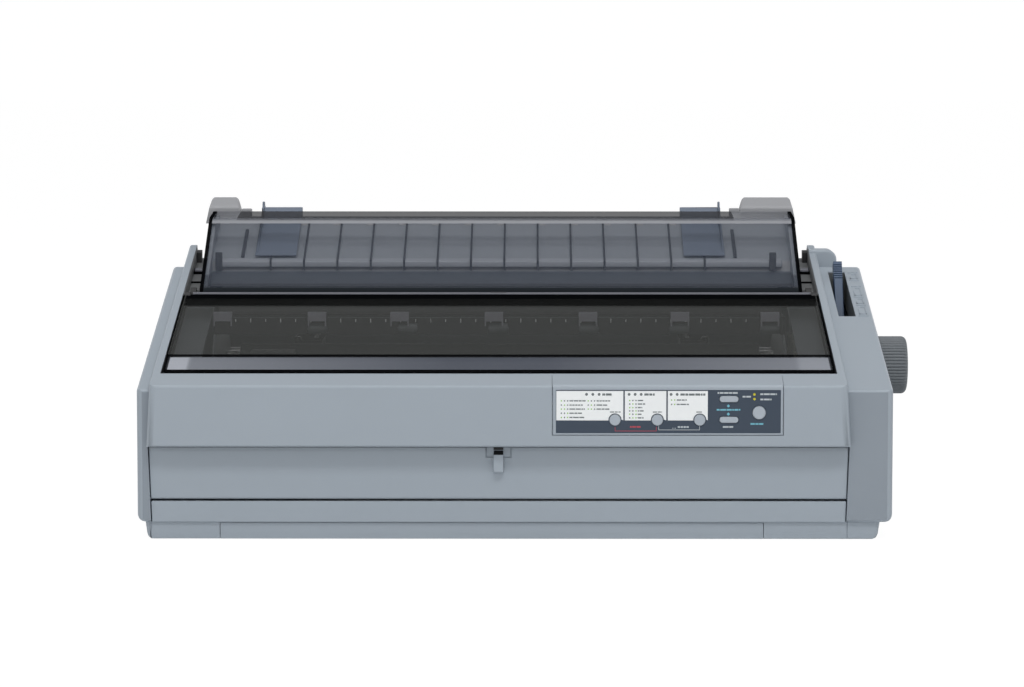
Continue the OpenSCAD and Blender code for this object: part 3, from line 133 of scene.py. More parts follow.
def make_camera():
    data = bpy.data.cameras.new("camera")
    data.lens = 129.7
    data.sensor_width = 36
    data.clip_end = 50
    camera = bpy.data.objects.new("camera", data)
    camera.location = (-0.0006, -3.122, 0.420)
    camera.rotation_euler = (math.radians(90 - 5.1), 0, math.radians(0.31))
    bpy.context.collection.objects.link(camera)
    bpy.context.scene.camera = camera


def area_light(name, location, target, size, power):
    data = bpy.data.lights.new(name, "AREA")
    data.shape = "RECTANGLE"
    data.size, data.size_y = size
    data.energy = power
    light = bpy.data.objects.new(name, data)
    light.location = location
    light.rotation_euler = (Vector(target) - Vector(location)).to_track_quat("-Z", "Y").to_euler()
    bpy.context.collection.objects.link(light)


def new_material(name):
    material = bpy.data.materials.new(name)
    material.use_nodes = True
    tree = material.node_tree
    return material, tree, tree.nodes["Principled BSDF"]


def sky(tree, direction, stops):
    """Background whose grey follows the height of the direction. stops are (height, grey)."""
    ramp = tree.nodes.new("ShaderNodeValToRGB")
    points = ramp.color_ramp.elements
    while len(points) < len(stops):
        points.new(0.5)
    for point, (height, grey) in zip(points, stops):
        point.position = height
        point.color = (grey, grey * 1.008, grey * 1.03, 1)
    background = tree.nodes.new("ShaderNodeBackground")
    tree.links.new(direction, ramp.inputs[0])
    tree.links.new(ramp.outputs[0], background.inputs["Color"])
    return background.outputs[0]


def either(tree, *values):
    """The largest of several sockets."""
    result = values[0]
    for value in values[1:]:
        node = tree.nodes.new("ShaderNodeMath")
        node.operation = "MAXIMUM"
        tree.links.new(result, node.inputs[0])
        tree.links.new(value, node.inputs[1])
        result = node.outputs[0]
    return result


def make_world():
    """Pale studio. What is seen, mirrored or looked through is white to well above the horizon, then a
    darker ceiling with a soft light at its top."""
    world = bpy.data.worlds.new("studio")
    bpy.context.scene.world = world
    world.use_nodes = True
    tree = world.node_tree
    tree.nodes.clear()
    out = tree.nodes.new("ShaderNodeOutputWorld")
    coords = tree.nodes.new("ShaderNodeTexCoord")
    split = tree.nodes.new("ShaderNodeSeparateXYZ")
    path = tree.nodes.new("ShaderNodeLightPath")
    mix = tree.nodes.new("ShaderNodeMixShader")
    tree.links.new(coords.outputs["Generated"], split.inputs[0])
    height = split.outputs["Z"]
    tree.links.new(either(tree, path.outputs["Is Camera Ray"], path.outputs["Is Glossy Ray"],
                          path.outputs["Is Transmission Ray"]), mix.inputs[0])
    tree.links.new(sky(tree, height, [(0.25, 0.52), (0.62, 0.36)]), mix.inputs[1])
    tree.links.new(sky(tree, height, [(0.38, 1.0), (0.48, 0.22), (0.72, 0.25), (0.86, 0.62)]), mix.inputs[2])
    tree.links.new(mix.outputs[0], out.inputs[0])


def make_floor():
    """Pale floor that the camera sees as white. Its glow all but hides the object's shadow."""
    material, tree, shader = new_material("floor")
    shader.inputs["Base Color"].default_value = (0.86, 0.86, 0.86, 1)
    shader.inputs["Roughness"].default_value = 0.9
    shader.inputs["Specular IOR Level"].default_value = 0.1
    glow = tree.nodes.new("ShaderNodeEmission")
    path = tree.nodes.new("ShaderNodeLightPath")
    share = tree.nodes.new("ShaderNodeMath")
    share.operation = "MULTIPLY"
    share.inputs[1].default_value = 0.9
    glow.inputs["Strength"].default_value = 1.07
    mix = tree.nodes.new("ShaderNodeMixShader")
    tree.links.new(path.outputs["Is Camera Ray"], share.inputs[0])
    tree.links.new(share.outputs[0], mix.inputs[0])
    tree.links.new(shader.outputs[0], mix.inputs[1])
    tree.links.new(glow.outputs[0], mix.inputs[2])
    tree.links.new(mix.outputs[0], tree.nodes["Material Output"].inputs[0])
    bpy.ops.mesh.primitive_plane_add(size=30)
    floor = bpy.context.object
    floor.name = "floor"
    floor.data.materials.append(material)


# ---- Materials ----

def rgb(red, green, blue):
    """Linear colour of an sRGB colour given from 0 to 255."""
    def linear(value):
        value /= 255
        return value / 12.92 if value <= 0.04045 else ((value + 0.055) / 1.055) ** 2.4
    return (linear(red), linear(green), linear(blue), 1)


def moulded(name, colour, roughness, grain=0.0004, bump=0.15, patch=0.03, alpha=1.0, specular=0.5):
    """Moulded plastic: a fine spark-eroded grain, and slow patches in colour and gloss."""
    material, tree, shader = new_material(name)
    link = tree.links.new
    coords = tree.nodes.new("ShaderNodeTexCoord")
    fine = tree.nodes.new("ShaderNodeTexNoise")
    fine.inputs["Scale"].default_value = 1 / grain
    fine.inputs["Detail"].default_value = 2
    slow = tree.nodes.new("ShaderNodeTexNoise")
    slow.inputs["Scale"].default_value = 14
    slow.inputs["Detail"].default_value = 3
    link(coords.outputs["Object"], fine.inputs["Vector"])
    link(coords.outputs["Object"], slow.inputs["Vector"])
    blend = tree.nodes.new("ShaderNodeMix")
    blend.data_type = "RGBA"
    blend.inputs["A"].default_value = [c * (1 - patch) for c in colour[:3]] + [1]
    blend.inputs["B"].default_value = [c * (1 + patch) for c in colour[:3]] + [1]
    link(slow.outputs["Fac"], blend.inputs["Factor"])
    link(blend.outputs["Result"], shader.inputs["Base Color"])
    gloss = tree.nodes.new("ShaderNodeMapRange")
    gloss.inputs["To Min"].default_value = max(roughness - 0.05, 0.02)
    gloss.inputs["To Max"].default_value = roughness + 0.05
    link(slow.outputs["Fac"], gloss.inputs["Value"])
    link(gloss.outputs["Result"], shader.inputs["Roughness"])
    relief = tree.nodes.new("ShaderNodeBump")
    relief.inputs["Strength"].default_value = bump
    relief.inputs["Distance"].default_value = 0.0001
    link(fine.outputs["Fac"], relief.inputs["Height"])
    link(relief.outputs["Normal"], shader.inputs["Normal"])
    shader.inputs["Specular IOR Level"].default_value = specular
    shader.inputs["Alpha"].default_value = alpha
    return material


def smoked(name, colour, roughness, alpha=1.0, specular=0.5):
    """Smoked clear plastic with an almost smooth face. alpha is the share that one face holds back."""
    return moulded(name, rgb(*colour), roughness, grain=0.002, bump=0.02, alpha=alpha, specular=specular)


def graded(name, axis, start, end, stops, roughness=0.5):
    """Plastic whose colour steps along one axis of the frame. A stop is (place in millimetres, colour)."""
    material = moulded(name, rgb(*stops[0][1]), roughness, bump=0.15)
    tree = material.node_tree
    coords = tree.nodes.new("ShaderNodeTexCoord")
    split = tree.nodes.new("ShaderNodeSeparateXYZ")
    span = tree.nodes.new("ShaderNodeMapRange")
    span.inputs["From Min"].default_value = start * MM
    span.inputs["From Max"].default_value = end * MM
    ramp = tree.nodes.new("ShaderNodeValToRGB")
    points = ramp.color_ramp.elements
    while len(points) < len(stops):
        points.new(0.5)
    for point, (place, colour) in zip(points, stops):
        point.position = (place - start) / (end - start)
        point.color = rgb(*colour)
    tree.links.new(coords.outputs["Object"], split.inputs[0])
    tree.links.new(split.outputs[axis], span.inputs["Value"])
    tree.links.new(span.outputs["Result"], ramp.inputs[0])
    tree.links.new(ramp.outputs[0], tree.nodes["Principled BSDF"].inputs["Base Color"])
    return material


def sheet(name, colour, through, grazing):
    """Smoked sheet that is clear when looked through and dense when seen almost edge-on, where a line of
    sight runs a long way in it."""
    material = smoked(name, colour, 0.3, specular=0)
    tree = material.node_tree
    angle = tree.nodes.new("ShaderNodeLayerWeight")
    angle.inputs["Blend"].default_value = 0.5
    depth = tree.nodes.new("ShaderNodeMapRange")
    depth.inputs["From Min"].default_value = 0.6
    depth.inputs["From Max"].default_value = 0.82
    depth.inputs["To Min"].default_value = through
    depth.inputs["To Max"].default_value = grazing
    tree.links.new(angle.outputs["Facing"], depth.inputs["Value"])
    tree.links.new(depth.outputs["Result"], tree.nodes["Principled BSDF"].inputs["Alpha"])
    return material


def metal(name, colour, roughness, streak=None, scale=900):
    """Metal with drawn or ground streaks along one axis."""
    material, tree, shader = new_material(name)
    link = tree.links.new
    coords = tree.nodes.new("ShaderNodeTexCoord")
    stretch = tree.nodes.new("ShaderNodeMapping")
    stretch.inputs["Scale"].default_value = streak or (1, 1, 1)
    noise = tree.nodes.new("ShaderNodeTexNoise")
    noise.inputs["Scale"].default_value = scale
    noise.inputs["Detail"].default_value = 3
    link(coords.outputs["Object"], stretch.inputs["Vector"])
    link(stretch.outputs["Vector"], noise.inputs["Vector"])
    gloss = tree.nodes.new("ShaderNodeMapRange")
    gloss.inputs["To Min"].default_value = roughness - 0.1
    gloss.inputs["To Max"].default_value = roughness + 0.12
    link(noise.outputs["Fac"], gloss.inputs["Value"])
    link(gloss.outputs["Result"], shader.inputs["Roughness"])
    shade = tree.nodes.new("ShaderNodeMix")
    shade.data_type = "RGBA"
    shade.inputs["A"].default_value = [c * 0.85 for c in colour[:3]] + [1]
    shade.inputs["B"].default_value = [min(c * 1.1, 1) for c in colour[:3]] + [1]
    link(noise.outputs["Fac"], shade.inputs["Factor"])
    link(shade.outputs["Result"], shader.inputs["Base Color"])
    shader.inputs["Metallic"].default_value = 1
    return material


CASE = moulded("case_plastic", rgb(166, 176, 185), 0.42, bump=0.25)
# Darker copy of the case plastic: painted shade on the column fronts
CASE_PAINTED_SHADE = moulded("case_plastic_painted_shade", rgb(147, 156, 165), 0.45, bump=0.25)
SMOKE = smoked("smoked_plastic", (80, 82, 80), 0.1, alpha=0.36, specular=0.14)
SMOKE_BLUE = smoked("smoked_guide", (90, 98, 112), 0.12, alpha=0.17, specular=0.12)
# Clearer smoke for the lid's front band; its paler colour is a painted reflection on the band
SMOKE_BAND_SHEEN = smoked("smoked_band_painted_sheen", (120, 126, 138), 0.2, alpha=0.12, specular=0.2)
# Near-black smoke: the dark edges of the covers, where a sight line runs long in the plastic, and painted shade in
# the gaps, creases and strips where shade falls
SMOKE_EDGE_AND_SHADE = smoked("smoked_edge_and_shade", (10, 11, 13), 0.6, alpha=0.94, specular=0)
SMOKE_TOP = sheet("smoked_top", (68, 69, 72), 0.17, 0.86)
# Dark smoke for the guide cover's lower lip: painted shade
SMOKE_LIP_SHADE = smoked("smoked_lip_painted_shade", (40, 44, 48), 0.6, alpha=0.94, specular=0)
# Pale smoke on the rounding of the guide cover's crease: a painted highlight
SMOKE_CREASE_HIGHLIGHT = smoked("smoked_crease_painted_highlight", (158, 160, 165), 0.3, alpha=0.92, specular=0.1)
SMOKE_RIM = smoked("smoked_rim", (122, 124, 133), 0.25)
ROD = smoked("cover_rod", (96, 98, 107), 0.3)
# Faint black smoke for the strip of painted shade that fades out in front of the lid's rear strip
SMOKE_SHADE_FADE = smoked("smoked_painted_shade", (8, 9, 10), 0.6, alpha=0.34, specular=0)
RIB_SHADE = moulded("rib_shade", rgb(46, 50, 58), 0.5, bump=0.1)
# Darker copy of the guide's plastic for the plate under the guide cover: painted shade
GUIDE_PLATE_SHADE = moulded("guide_plate_painted_shade", rgb(146, 151, 158), 0.5, bump=0.15)
# Paler guide plastic on the plate's rounded front edge: a painted highlight
GUIDE_LIP_HIGHLIGHT = moulded("guide_lip_highlight", rgb(160, 164, 171), 0.45, bump=0.15)
# Front apron below the plate, darker towards the bottom: painted shade under the plate's edge
GUIDE_APRON_SHADE = graded("guide_apron_painted_shade", "Z", 180, 206, [
    (186.5, (34, 36, 40)), (187.5, (66, 71, 79)), (195.1, (74, 80, 88)), (196.4, (132, 138, 147)),
    (205.5, (146, 151, 158))])
# Tones of the painted light under the front band: lit at its ends, painted shade in the middle
BAND_SIDE_LIT, BAND_MIDDLE_SHADE = (132, 136, 144), (66, 72, 84)
# Painted light under the lid's front band: pale over the two lit ledges, and painted shade from their inner edges
# towards the middle
BAND_PAINTED_LIGHT = graded("band_painted_light", "X", -302, 248, [
    (-280, (190, 194, 202)), (-278, BAND_SIDE_LIT), (-67, BAND_MIDDLE_SHADE), (14, BAND_MIDDLE_SHADE), (213, BAND_SIDE_LIT),
    (217, (158, 162, 170))])
GUIDE_DARK = moulded("guide_dark", rgb(52, 55, 61), 0.55, bump=0.2)
# Darker grey for the walls inside the bay: painted shade
CASE_INNER_SHADE = moulded("case_inner_painted_shade", rgb(120, 125, 130), 0.5, bump=0.25)
HOLDER = moulded("holder_plastic", rgb(166, 166, 176), 0.5, bump=0.15)
# Darker grey for the walls below the lever slot: painted shade
SLOT_SHADE = moulded("slot_shade_walls", rgb(98, 102, 104), 0.55, bump=0.2)
# Grey sheets on the bay's walls and floor beside the paper guide: painted shade
BAY_SHADE = moulded("bay_painted_shade", rgb(110, 112, 113), 0.55, bump=0.2)
LEVER = moulded("lever_plastic", rgb(66, 86, 112), 0.45, bump=0.15)
PRINTS = [moulded("print_" + name, rgb(*colour), 0.45, grain=0.0008, bump=0.04) for name, colour in (
    ("white", (252, 255, 255)), ("grey", (112, 120, 122)), ("green", (158, 205, 110)), ("red", (186, 70, 84)),
    ("cyan", (120, 190, 208)), ("pale", (196, 204, 208)))]
MATERIALS = {
    "case_plastic": CASE,
    "smoked_plastic": SMOKE,
    "guide_plastic": moulded("guide_plastic", rgb(164, 165, 168), 0.5, bump=0.2),
    "blue_plastic": moulded("blue_plastic", rgb(110, 121, 138), 0.45, bump=0.15),
    "panel_film": moulded("panel_film", rgb(66, 77, 91), 0.4, grain=0.0008, bump=0.05, specular=0.3),
    "button_plastic": moulded("button_plastic", rgb(178, 187, 196), 0.45, bump=0.1),
    "knob_plastic": moulded("knob_plastic", rgb(112, 117, 121), 0.5, bump=0.2),
    "black_plastic": moulded("black_plastic", rgb(30, 31, 33), 0.5, bump=0.2),
    "gear_plastic": moulded("gear_plastic", rgb(222, 220, 208), 0.4, bump=0.1),
    "lens_plastic": moulded("lens_plastic", rgb(215, 205, 60), 0.2, bump=0.02),
    "board_laminate": moulded("board_laminate", rgb(28, 96, 58), 0.3, grain=0.001, bump=0.1, patch=0.12),
    "plated_steel": metal("plated_steel", rgb(176, 178, 178), 0.4),
    "bright_steel": metal("bright_steel", rgb(200, 200, 200), 0.25, streak=(1, 40, 40), scale=200),
    "rubber_black": moulded("rubber_black", rgb(34, 35, 36), 0.75, bump=0.3, specular=0.25),
    "ribbon_film": moulded("ribbon_film", rgb(20, 20, 22), 0.8, grain=0.0003, bump=0.4),
}

# Parts under the covers that keep their slot but get darker colours: painted shade inside the printer
UNDER_COVER_SHADE = {
    "left_side_frame": metal("frame_steel_painted_shade", rgb(92, 95, 98), 0.5),
    "tractor_cover_left": SMOKE_EDGE_AND_SHADE,
    "ribbon_knob": moulded("ribbon_knob_painted_shade", rgb(62, 70, 82), 0.5, bump=0.15),
}
UNDER_COVER_SHADE["right_side_frame"] = UNDER_COVER_SHADE["left_side_frame"]
UNDER_COVER_SHADE["tractor_cover_right"] = UNDER_COVER_SHADE["tractor_cover_left"]

for slot_node, slot_name in SLOT_OF.items():
    NODES[slot_node].data.materials.clear()
    NODES[slot_node].data.materials.append(UNDER_COVER_SHADE.get(slot_node, MATERIALS[slot_name]))


# ---- Mesh helpers ----

def new_piece(name, mesh, material):
    obj = bpy.data.objects.new(name, mesh)
    bpy.context.collection.objects.link(obj)
    obj.data.materials.clear()
    obj.data.materials.append(material)
    return obj


def apply_modifiers(obj):
    bpy.context.view_layer.update()
    graph = bpy.context.evaluated_depsgraph_get()
    mesh = bpy.data.meshes.new_from_object(obj.evaluated_get(graph))
    obj.modifiers.clear()
    obj.data = mesh


def shade(obj, angle=35):
    """Smooth shading that stays flat on large faces and breaks at hard edges."""
    obj.data.shade_smooth()
    obj.data.set_sharp_from_angle(angle=math.radians(angle))
    weights = obj.modifiers.new("weights", "WEIGHTED_NORMAL")
    weights.keep_sharp = True
    weights.weight = 80
    apply_modifiers(obj)


def to_obj(name, bm, material):
    mesh = bpy.data.meshes.new(name)
    bmesh.ops.recalc_face_normals(bm, faces=bm.faces)
    bm.to_mesh(mesh)
    bm.free()
    return new_piece(name, mesh, material)


def boolean(target, tool, operation):
    cut = target.modifiers.new("cut", "BOOLEAN")
    cut.object = tool
    cut.operation = operation
    cut.solver = "MANIFOLD"
    apply_modifiers(target)
    bpy.data.objects.remove(tool)


def same(value, wanted):
    return abs(value - wanted) < 0.05


def any_edge(_p, _q):
    return True


def mm_of(point):
    """(x, u, z) in millimetres of a point in the frame."""
    return point.x / MM, (point.y - FRONT) / MM, point.z / MM


def round_edges(obj, rules, segments=4, angle=8, least=0):
    """Bevels edges that bend by more than angle and are long enough. Each rule is (radius, test), and test
    gets an edge's two ends in millimetres."""
    widest = max(radius for radius, _ in rules)
    bm = bmesh.new()
    bm.from_mesh(obj.data)
    weight = bm.edges.layers.float.get("bevel_weight_edge") or bm.edges.layers.float.new("bevel_weight_edge")
    for edge in bm.edges:
        if len(edge.link_faces) != 2 or edge.calc_face_angle() < math.radians(angle):
            continue
        if edge.calc_length() < least * MM:
            continue
        p, q = (mm_of(v.co) for v in edge.verts)
        for radius, test in rules:
            if test(p, q):
                edge[weight] = radius / widest
                break
    bm.to_mesh(obj.data)
    bm.free()
    bevel = obj.modifiers.new("bevel", "BEVEL")
    bevel.limit_method = "WEIGHT"
    bevel.width = widest * MM
    bevel.segments = segments
    bevel.use_clamp_overlap = False
    apply_modifiers(obj)


def prism(name, outline, axis, start, end, material=CASE):
    """Closed prism. The outline's points are (u, z) for axis x, (x, z) for axis u and (x, u) for axis z."""
    bm = bmesh.new()
    rings = []
    for distance in (start, end):
        if axis == "x":
            rings.append([bm.verts.new(at(distance, a, b)) for a, b in outline])
        elif axis == "u":
            rings.append([bm.verts.new(at(a, distance, b)) for a, b in outline])
        else:
            rings.append([bm.verts.new(at(a, b, distance)) for a, b in outline])
    count = len(outline)
    for i in range(count):
        j = (i + 1) % count
        bm.faces.new((rings[0][i], rings[0][j], rings[1][j], rings[1][i]))
    bm.faces.new(rings[0])
    bm.faces.new(rings[1][::-1])
    return to_obj(name, bm, material)


def block(name, x0, x1, u0, u1, z0, z1, material=CASE):
    return prism(name, [(x0, u0), (x1, u0), (x1, u1), (x0, u1)], "z", z0, z1, material)


def arc(cx, cy, r, a0, a1, steps=8):
    angles = [math.radians(a0 + (a1 - a0) * i / steps) for i in range(steps + 1)]
    return [(cx + r * math.cos(a), cy + r * math.sin(a)) for a in angles]


def copy_node(node, name):
    """A new piece with the shape of a CAD node, its flat faces joined."""
    bm = bmesh.new()
    bm.from_mesh(NODES[node].data)
    bmesh.ops.remove_doubles(bm, verts=bm.verts, dist=1e-6)
    mesh = bpy.data.meshes.new(name)
    bm.to_mesh(mesh)
    bm.free()
    return new_piece(name, mesh, MATERIALS[SLOT_OF[node]])


def join_flats(obj):
    """Merges doubled points and the triangles of each flat face."""
    bm = bmesh.new()
    bm.from_mesh(obj.data)
    bmesh.ops.remove_doubles(bm, verts=bm.verts, dist=2e-6)
    bmesh.ops.dissolve_limit(bm, angle_limit=math.radians(0.3), verts=bm.verts, edges=bm.edges)
    bm.to_mesh(obj.data)
    bm.free()


def settle(obj, body, slot, *nodes):
    """Puts a finished piece on its body, and hides the CAD nodes that it stands for."""
    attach(obj, body)
    if nodes:
        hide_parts(*nodes)
    return obj


def warp(obj, shift):
    """Moves each vertex by shift(x, u, z), in millimetres."""
    for vertex in obj.data.vertices:
        dx, du, dz = shift(*mm_of(vertex.co))
        vertex.co += Vector((dx, du, dz)) * MM


def soften(node, radius, angle=30, least=None, pick=None, segments=3, shift=None):
    """Rounded stand-in for a CAD node: its sharp edges of at least a given length get a small radius."""
    obj = copy_node(node, node + "_skin")
    join_flats(obj)
    round_edges(obj, [(radius, pick or any_edge)], segments, angle, least or 2.5 * radius)
    if shift:
        warp(obj, shift)
    shade(obj)
    return settle(obj, BODY_OF[node], SLOT_OF[node], node)


def edge_faces(obj, material, test):
    """Gives the faces for which test(normal, centre in millimetres) holds a second material."""
    obj.data.materials.append(material)
    index = len(obj.data.materials) - 1
    for face in obj.data.polygons:
        if test(face.normal, mm_of(face.center)):
            face.material_index = index


def split_at(obj, places):
    """Cuts the faces of a piece along upright planes at the given x, in millimetres."""
    bm = bmesh.new()
    bm.from_mesh(obj.data)
    for place in places:
        bmesh.ops.bisect_plane(bm, geom=bm.verts[:] + bm.edges[:] + bm.faces[:], dist=1e-6,
                               plane_co=(place * MM, 0, 0), plane_no=(1, 0, 0))
    bm.to_mesh(obj.data)
    bm.free()


# ---- Case ----

def front_taper(x, u, z):
    """The front recess widens towards its top, and the overhang's ends flare downwards to meet it."""
    near = min(abs(x - LS), abs(x - RS))
    out = -1 if abs(x - LS) < 10 else 1
    if z < OVERHANG_Z + 1 and near < 3:
        fade = min(max(1 - (u - COLUMN_U) / (NOTCH_U - COLUMN_U), 0), 1)
        return out * (2.7 - 0.037 * (OVERHANG_Z - z)) * fade, 0, 0
    if z > OVERHANG_Z and near < 10 and u < COLUMN_U + 0.6:
        return out * 2.7 * min(max((118 - z) / 42, 0), 1), 0, 0
    return 0, 0, 0


def shoulder_envelope(name, outer, inner):
    """Rounded block of one shoulder. outer is its free side."""
    side = shoulder(SHOULDER_END_U)
    outline = [(COLUMN_U, SPLIT_Z), (COLUMN_U, shoulder(COLUMN_U))]
    outline += arc(SHOULDER_END_U, side - 9, 9, 90, 20)
    outline += [(CASE_D, KNEE_Z), (CASE_D, SPLIT_Z)]
    lo, hi = min(outer, inner), max(outer, inner)
    obj = prism(name, outline, "x", lo, hi)

    def outer_edge(p, q):
        return same(p[0], outer) and same(q[0], outer)

    def vertical(p, q):
        return same(p[1], q[1])

    round_edges(obj, [
        (6.5, lambda p, q: outer_edge(p, q) and vertical(p, q) and p[2] != q[2]),
        (6.0, lambda p, q: outer_edge(p, q) and same(p[2], SPLIT_Z) and same(q[2], SPLIT_Z)),
        (3.5, lambda p, q: outer_edge(p, q)),
        (2.2, lambda p, q: same(p[1], COLUMN_U) and same(q[1], COLUMN_U)),
        (2.0, lambda p, q: same(p[1], CASE_D) and same(q[1], CASE_D)),
    ], segments=5)
    return obj


def middle_envelope():
    """Rounded block of the case between the shoulders."""
    top = deck(PEAK_U)
    outline = [(0, OVERHANG_Z), (0, FACE_H)] + arc(PEAK_U, top - 5, 5, 90, 30, 4)
    outline += [(CASE_D, KNEE_Z), (CASE_D, SPLIT_Z), (COLUMN_U + 20, SPLIT_Z), (COLUMN_U + 20, OVERHANG_Z)]
    obj = prism("middle", outline, "x", LS, RS)

    def front(p, q):
        return same(p[1], 0) and same(q[1], 0)

    def side(p, q):
        return same(p[0], q[0]) and (same(p[0], LS) or same(p[0], RS))

    round_edges(obj, [
        (6.5, lambda p, q: front(p, q) and side(p, q)),
        (2.8, lambda p, q: front(p, q) and same(p[2], FACE_H) and same(q[2], FACE_H)),
        (2.0, lambda p, q: front(p, q)),
        (1.8, lambda p, q: side(p, q) and p[2] > 100 and q[2] > 100),
    ], segments=5)
    return obj


def hump_envelope():
    """Rounded block of the hump at the right rear corner."""
    top = deck(PEAK_U) - HUMP_DROP
    foot = KNEE_Z - 40
    outline = [(RI, foot), (RI, top)]
    outline += arc(RS + HUMP_W - HUMP_ROUND, top - HUMP_ROUND, HUMP_ROUND, 90, 0)
    outline += [(RS + HUMP_W, foot)]
    obj = prism("hump", outline, "u", SHOULDER_END_U + 14, CASE_D - 8)
    round_edges(obj, [(2.5, lambda p, q: same(p[1], q[1]) and p[2] > KNEE_Z and q[2] > KNEE_Z)], segments=3)
    return obj


def upper_case():
    """Upper case with rounded outlines, and painted shade on the column fronts, inside the bay and in the bay's
    rear corners beside the guide cover.
    """
    envelope = middle_envelope()
    for tool in (
        shoulder_envelope("left_shoulder", XL, LS + 4),
        shoulder_envelope("right_shoulder", XR, RS - 4),
        block("core", LS + 2, RS - 2, 80, CASE_D, SPLIT_Z - 1, KNEE_Z),
        hump_envelope(),
    ):
        boolean(envelope, tool, "UNION")
    obj = copy_node("upper_case", "upper_case_skin")
    boolean(obj, envelope, "INTERSECT")
    join_flats(obj)
    warp(obj, front_taper)
    # Painted shade: the fronts of the columns beside the front recess are darker
    edge_faces(obj, CASE_PAINTED_SHADE, lambda n, c: n.y < -0.9 and not LS + 1 < c[0] < RS - 1 and c[2] < 118)
    # Painted shade on the inner walls of the bay
    edge_faces(obj, CASE_INNER_SHADE, lambda n, c: LI - 0.1 < c[0] < RI + 0.1 and c[1] > BAY_U - 0.1
               and SPLIT_Z + 20 < c[2] < deck(c[1]) - 3)
    # Black faces at the rear ends of the bay beside the guide cover: painted shade in these corners
    ear_l, ear_r = limits("paper_guide_cover")[:2]
    edge_faces(obj, MATERIALS["black_plastic"], lambda n, c: 225 < c[1] < 270 and deck(c[1]) - 12.8 < c[2]
               and (LI + 3 < c[0] < ear_l - 1 or ear_r + 1 < c[0] < RI - 3))
    shade(obj)
    settle(obj, "casing", "case_plastic", "upper_case")


def lower_case():
    """Tray of the case, with slight draft on its sides and the grooves of its front."""
    x0, x1, u0, u1, z0, z1 = limits("lower_case")
    envelope = block("base", x0, x1, u0, u1, z0, SPLIT_Z)

    def end(p, q):
        return same(p[0], q[0]) and (same(p[0], x0) or same(p[0], x1))

    round_edges(envelope, [
        (4.5, lambda p, q: end(p, q) and same(p[2], z0) and same(q[2], z0)),
        (3.0, lambda p, q: end(p, q) and same(p[1], q[1])),
        (0.8, lambda p, q: same(p[2], z0) and same(q[2], z0)),
    ])
    boolean(envelope, block("behind_sill", LS, RS, u0, u0 + 5, z0 + 6, z1 + 1), "UNION")
    boolean(envelope, block("inside", x0 + 9, x1 - 9, u0 + 9, u1 - 9, z0, 26), "UNION")
    obj = copy_node("lower_case", "lower_case_skin")
    boolean(obj, envelope, "INTERSECT")
    join_flats(obj)

    def draft(x, u, z):
        low = min(max((SPLIT_Z - z) / 13, 0), 1)
        drop = -0.9 if z < z0 + 4.6 else 0
        if x < x0 + 3.1:
            return -2.4 + 2.0 * low, 0, drop
        if x > x1 - 4.6:
            return -1.3 - 2.2 * low, 0, drop
        if u < u0 + 1:
            for groove, move in ((SILL_L, -1.4), (SILL_R, 2.0)):
                if abs(x - groove) < 0.6:
                    return move, 0, drop
        return 0, 0, drop

    warp(obj, draft)
    shade(obj)
    settle(obj, "casing", "case_plastic", "lower_case")


def panel_surround():
    """Bezel around the control panel, with the edges of its front rounded."""
    x0, x1 = limits("panel_bezel")[:2]

    def front(p, q):
        inside = x0 + 1 < p[0] < x1 - 1 and x0 + 1 < q[0] < x1 - 1
        return p[1] < 2.2 and q[1] < 2.2 and not (inside and p[2] < 123)

    soften("panel_bezel", 1.0, pick=front, least=1.0)


def front_cover():
    """Front paper cover, with painted shade in the gap behind its tab."""
    black, half = MATERIALS["black_plastic"], 3.9
    top = limits("front_cover")[5]
    face = limits("front_cover")[2] + 6
    cover = soften("front_cover", 0.9, shift=front_taper, pick=lambda p, q: min(p[2], q[2]) < top - 1)
    # Black faces on the tab's top and a black block behind it: painted shade in the gap
    edge_faces(cover, black, lambda n, c: n.z > 0.5 and abs(c[0] - MID) < half and top - 6 < c[2] < top - 2.5)
    gap = block("tab_gap_shade", MID - half, MID + half, face + 0.9, face + 1.25, top - 2.4, top - 0.1, black)
    settle(gap, "front_cover", "case_plastic")


upper_case()
lower_case()
soften("front_sill", 0.9, shift=front_taper)
front_cover()
soften("base_front_panel", 0.4, shift=lambda x, u, z: (0, 0, -0.9 if z < 5 else 0))
panel_surround()


# ---- Smoked covers ----

def printer_cover():
    """Smoked cover over the printing bay, with its clearer front band, paler by a painted reflection, and its
    black edges, which are partly painted shade in the gaps around it and along the crease.
    """
    u0, u1 = limits("printer_cover")[2:4]
    lid_l = LI + LID_SIDE_GAP
    lid_r = RI - LID_SIDE_GAP
    crease = u0 + LID_BAND

    def outer(p, q):
        rim = same(p[0], q[0]) and (same(p[0], lid_l) or same(p[0], lid_r))
        return rim and p[2] > deck(p[1]) - 5 and q[2] > deck(q[1]) - 5

    obj = copy_node("printer_cover", "printer_cover_skin")
    join_flats(obj)
    round_edges(obj, [
        (3.0, lambda p, q: outer(p, q) and max(p[1], q[1]) < u0 + 7),
        (1.6, outer),
        (0.8, lambda p, q: same(p[1], q[1]) and abs(p[0] - q[0]) > LONG_EDGE and p[1] < u0 + 3),
    ])
    obj.data.materials[0] = SMOKE
    # Front band: clearer smoke, paler by a painted reflection
    edge_faces(obj, SMOKE_BAND_SHEEN, lambda n, c: n.z > 0.6 and c[1] < crease - 0.5 and c[2] > deck(c[1]) - 4)
    # Black sides, front face, crease and rear edge of the lid: painted shade in the gaps around the lid and in the
    # crease
    edge_faces(obj, SMOKE_EDGE_AND_SHADE, lambda n, c: abs(n.x) > 0.3 or n.y < -0.45 or abs(c[1] - crease) < 0.6
               or (abs(n.y) > 0.9 and c[1] > u1 - 1))
    shade(obj)
    settle(obj, "printer_cover", "smoked_plastic", "printer_cover")


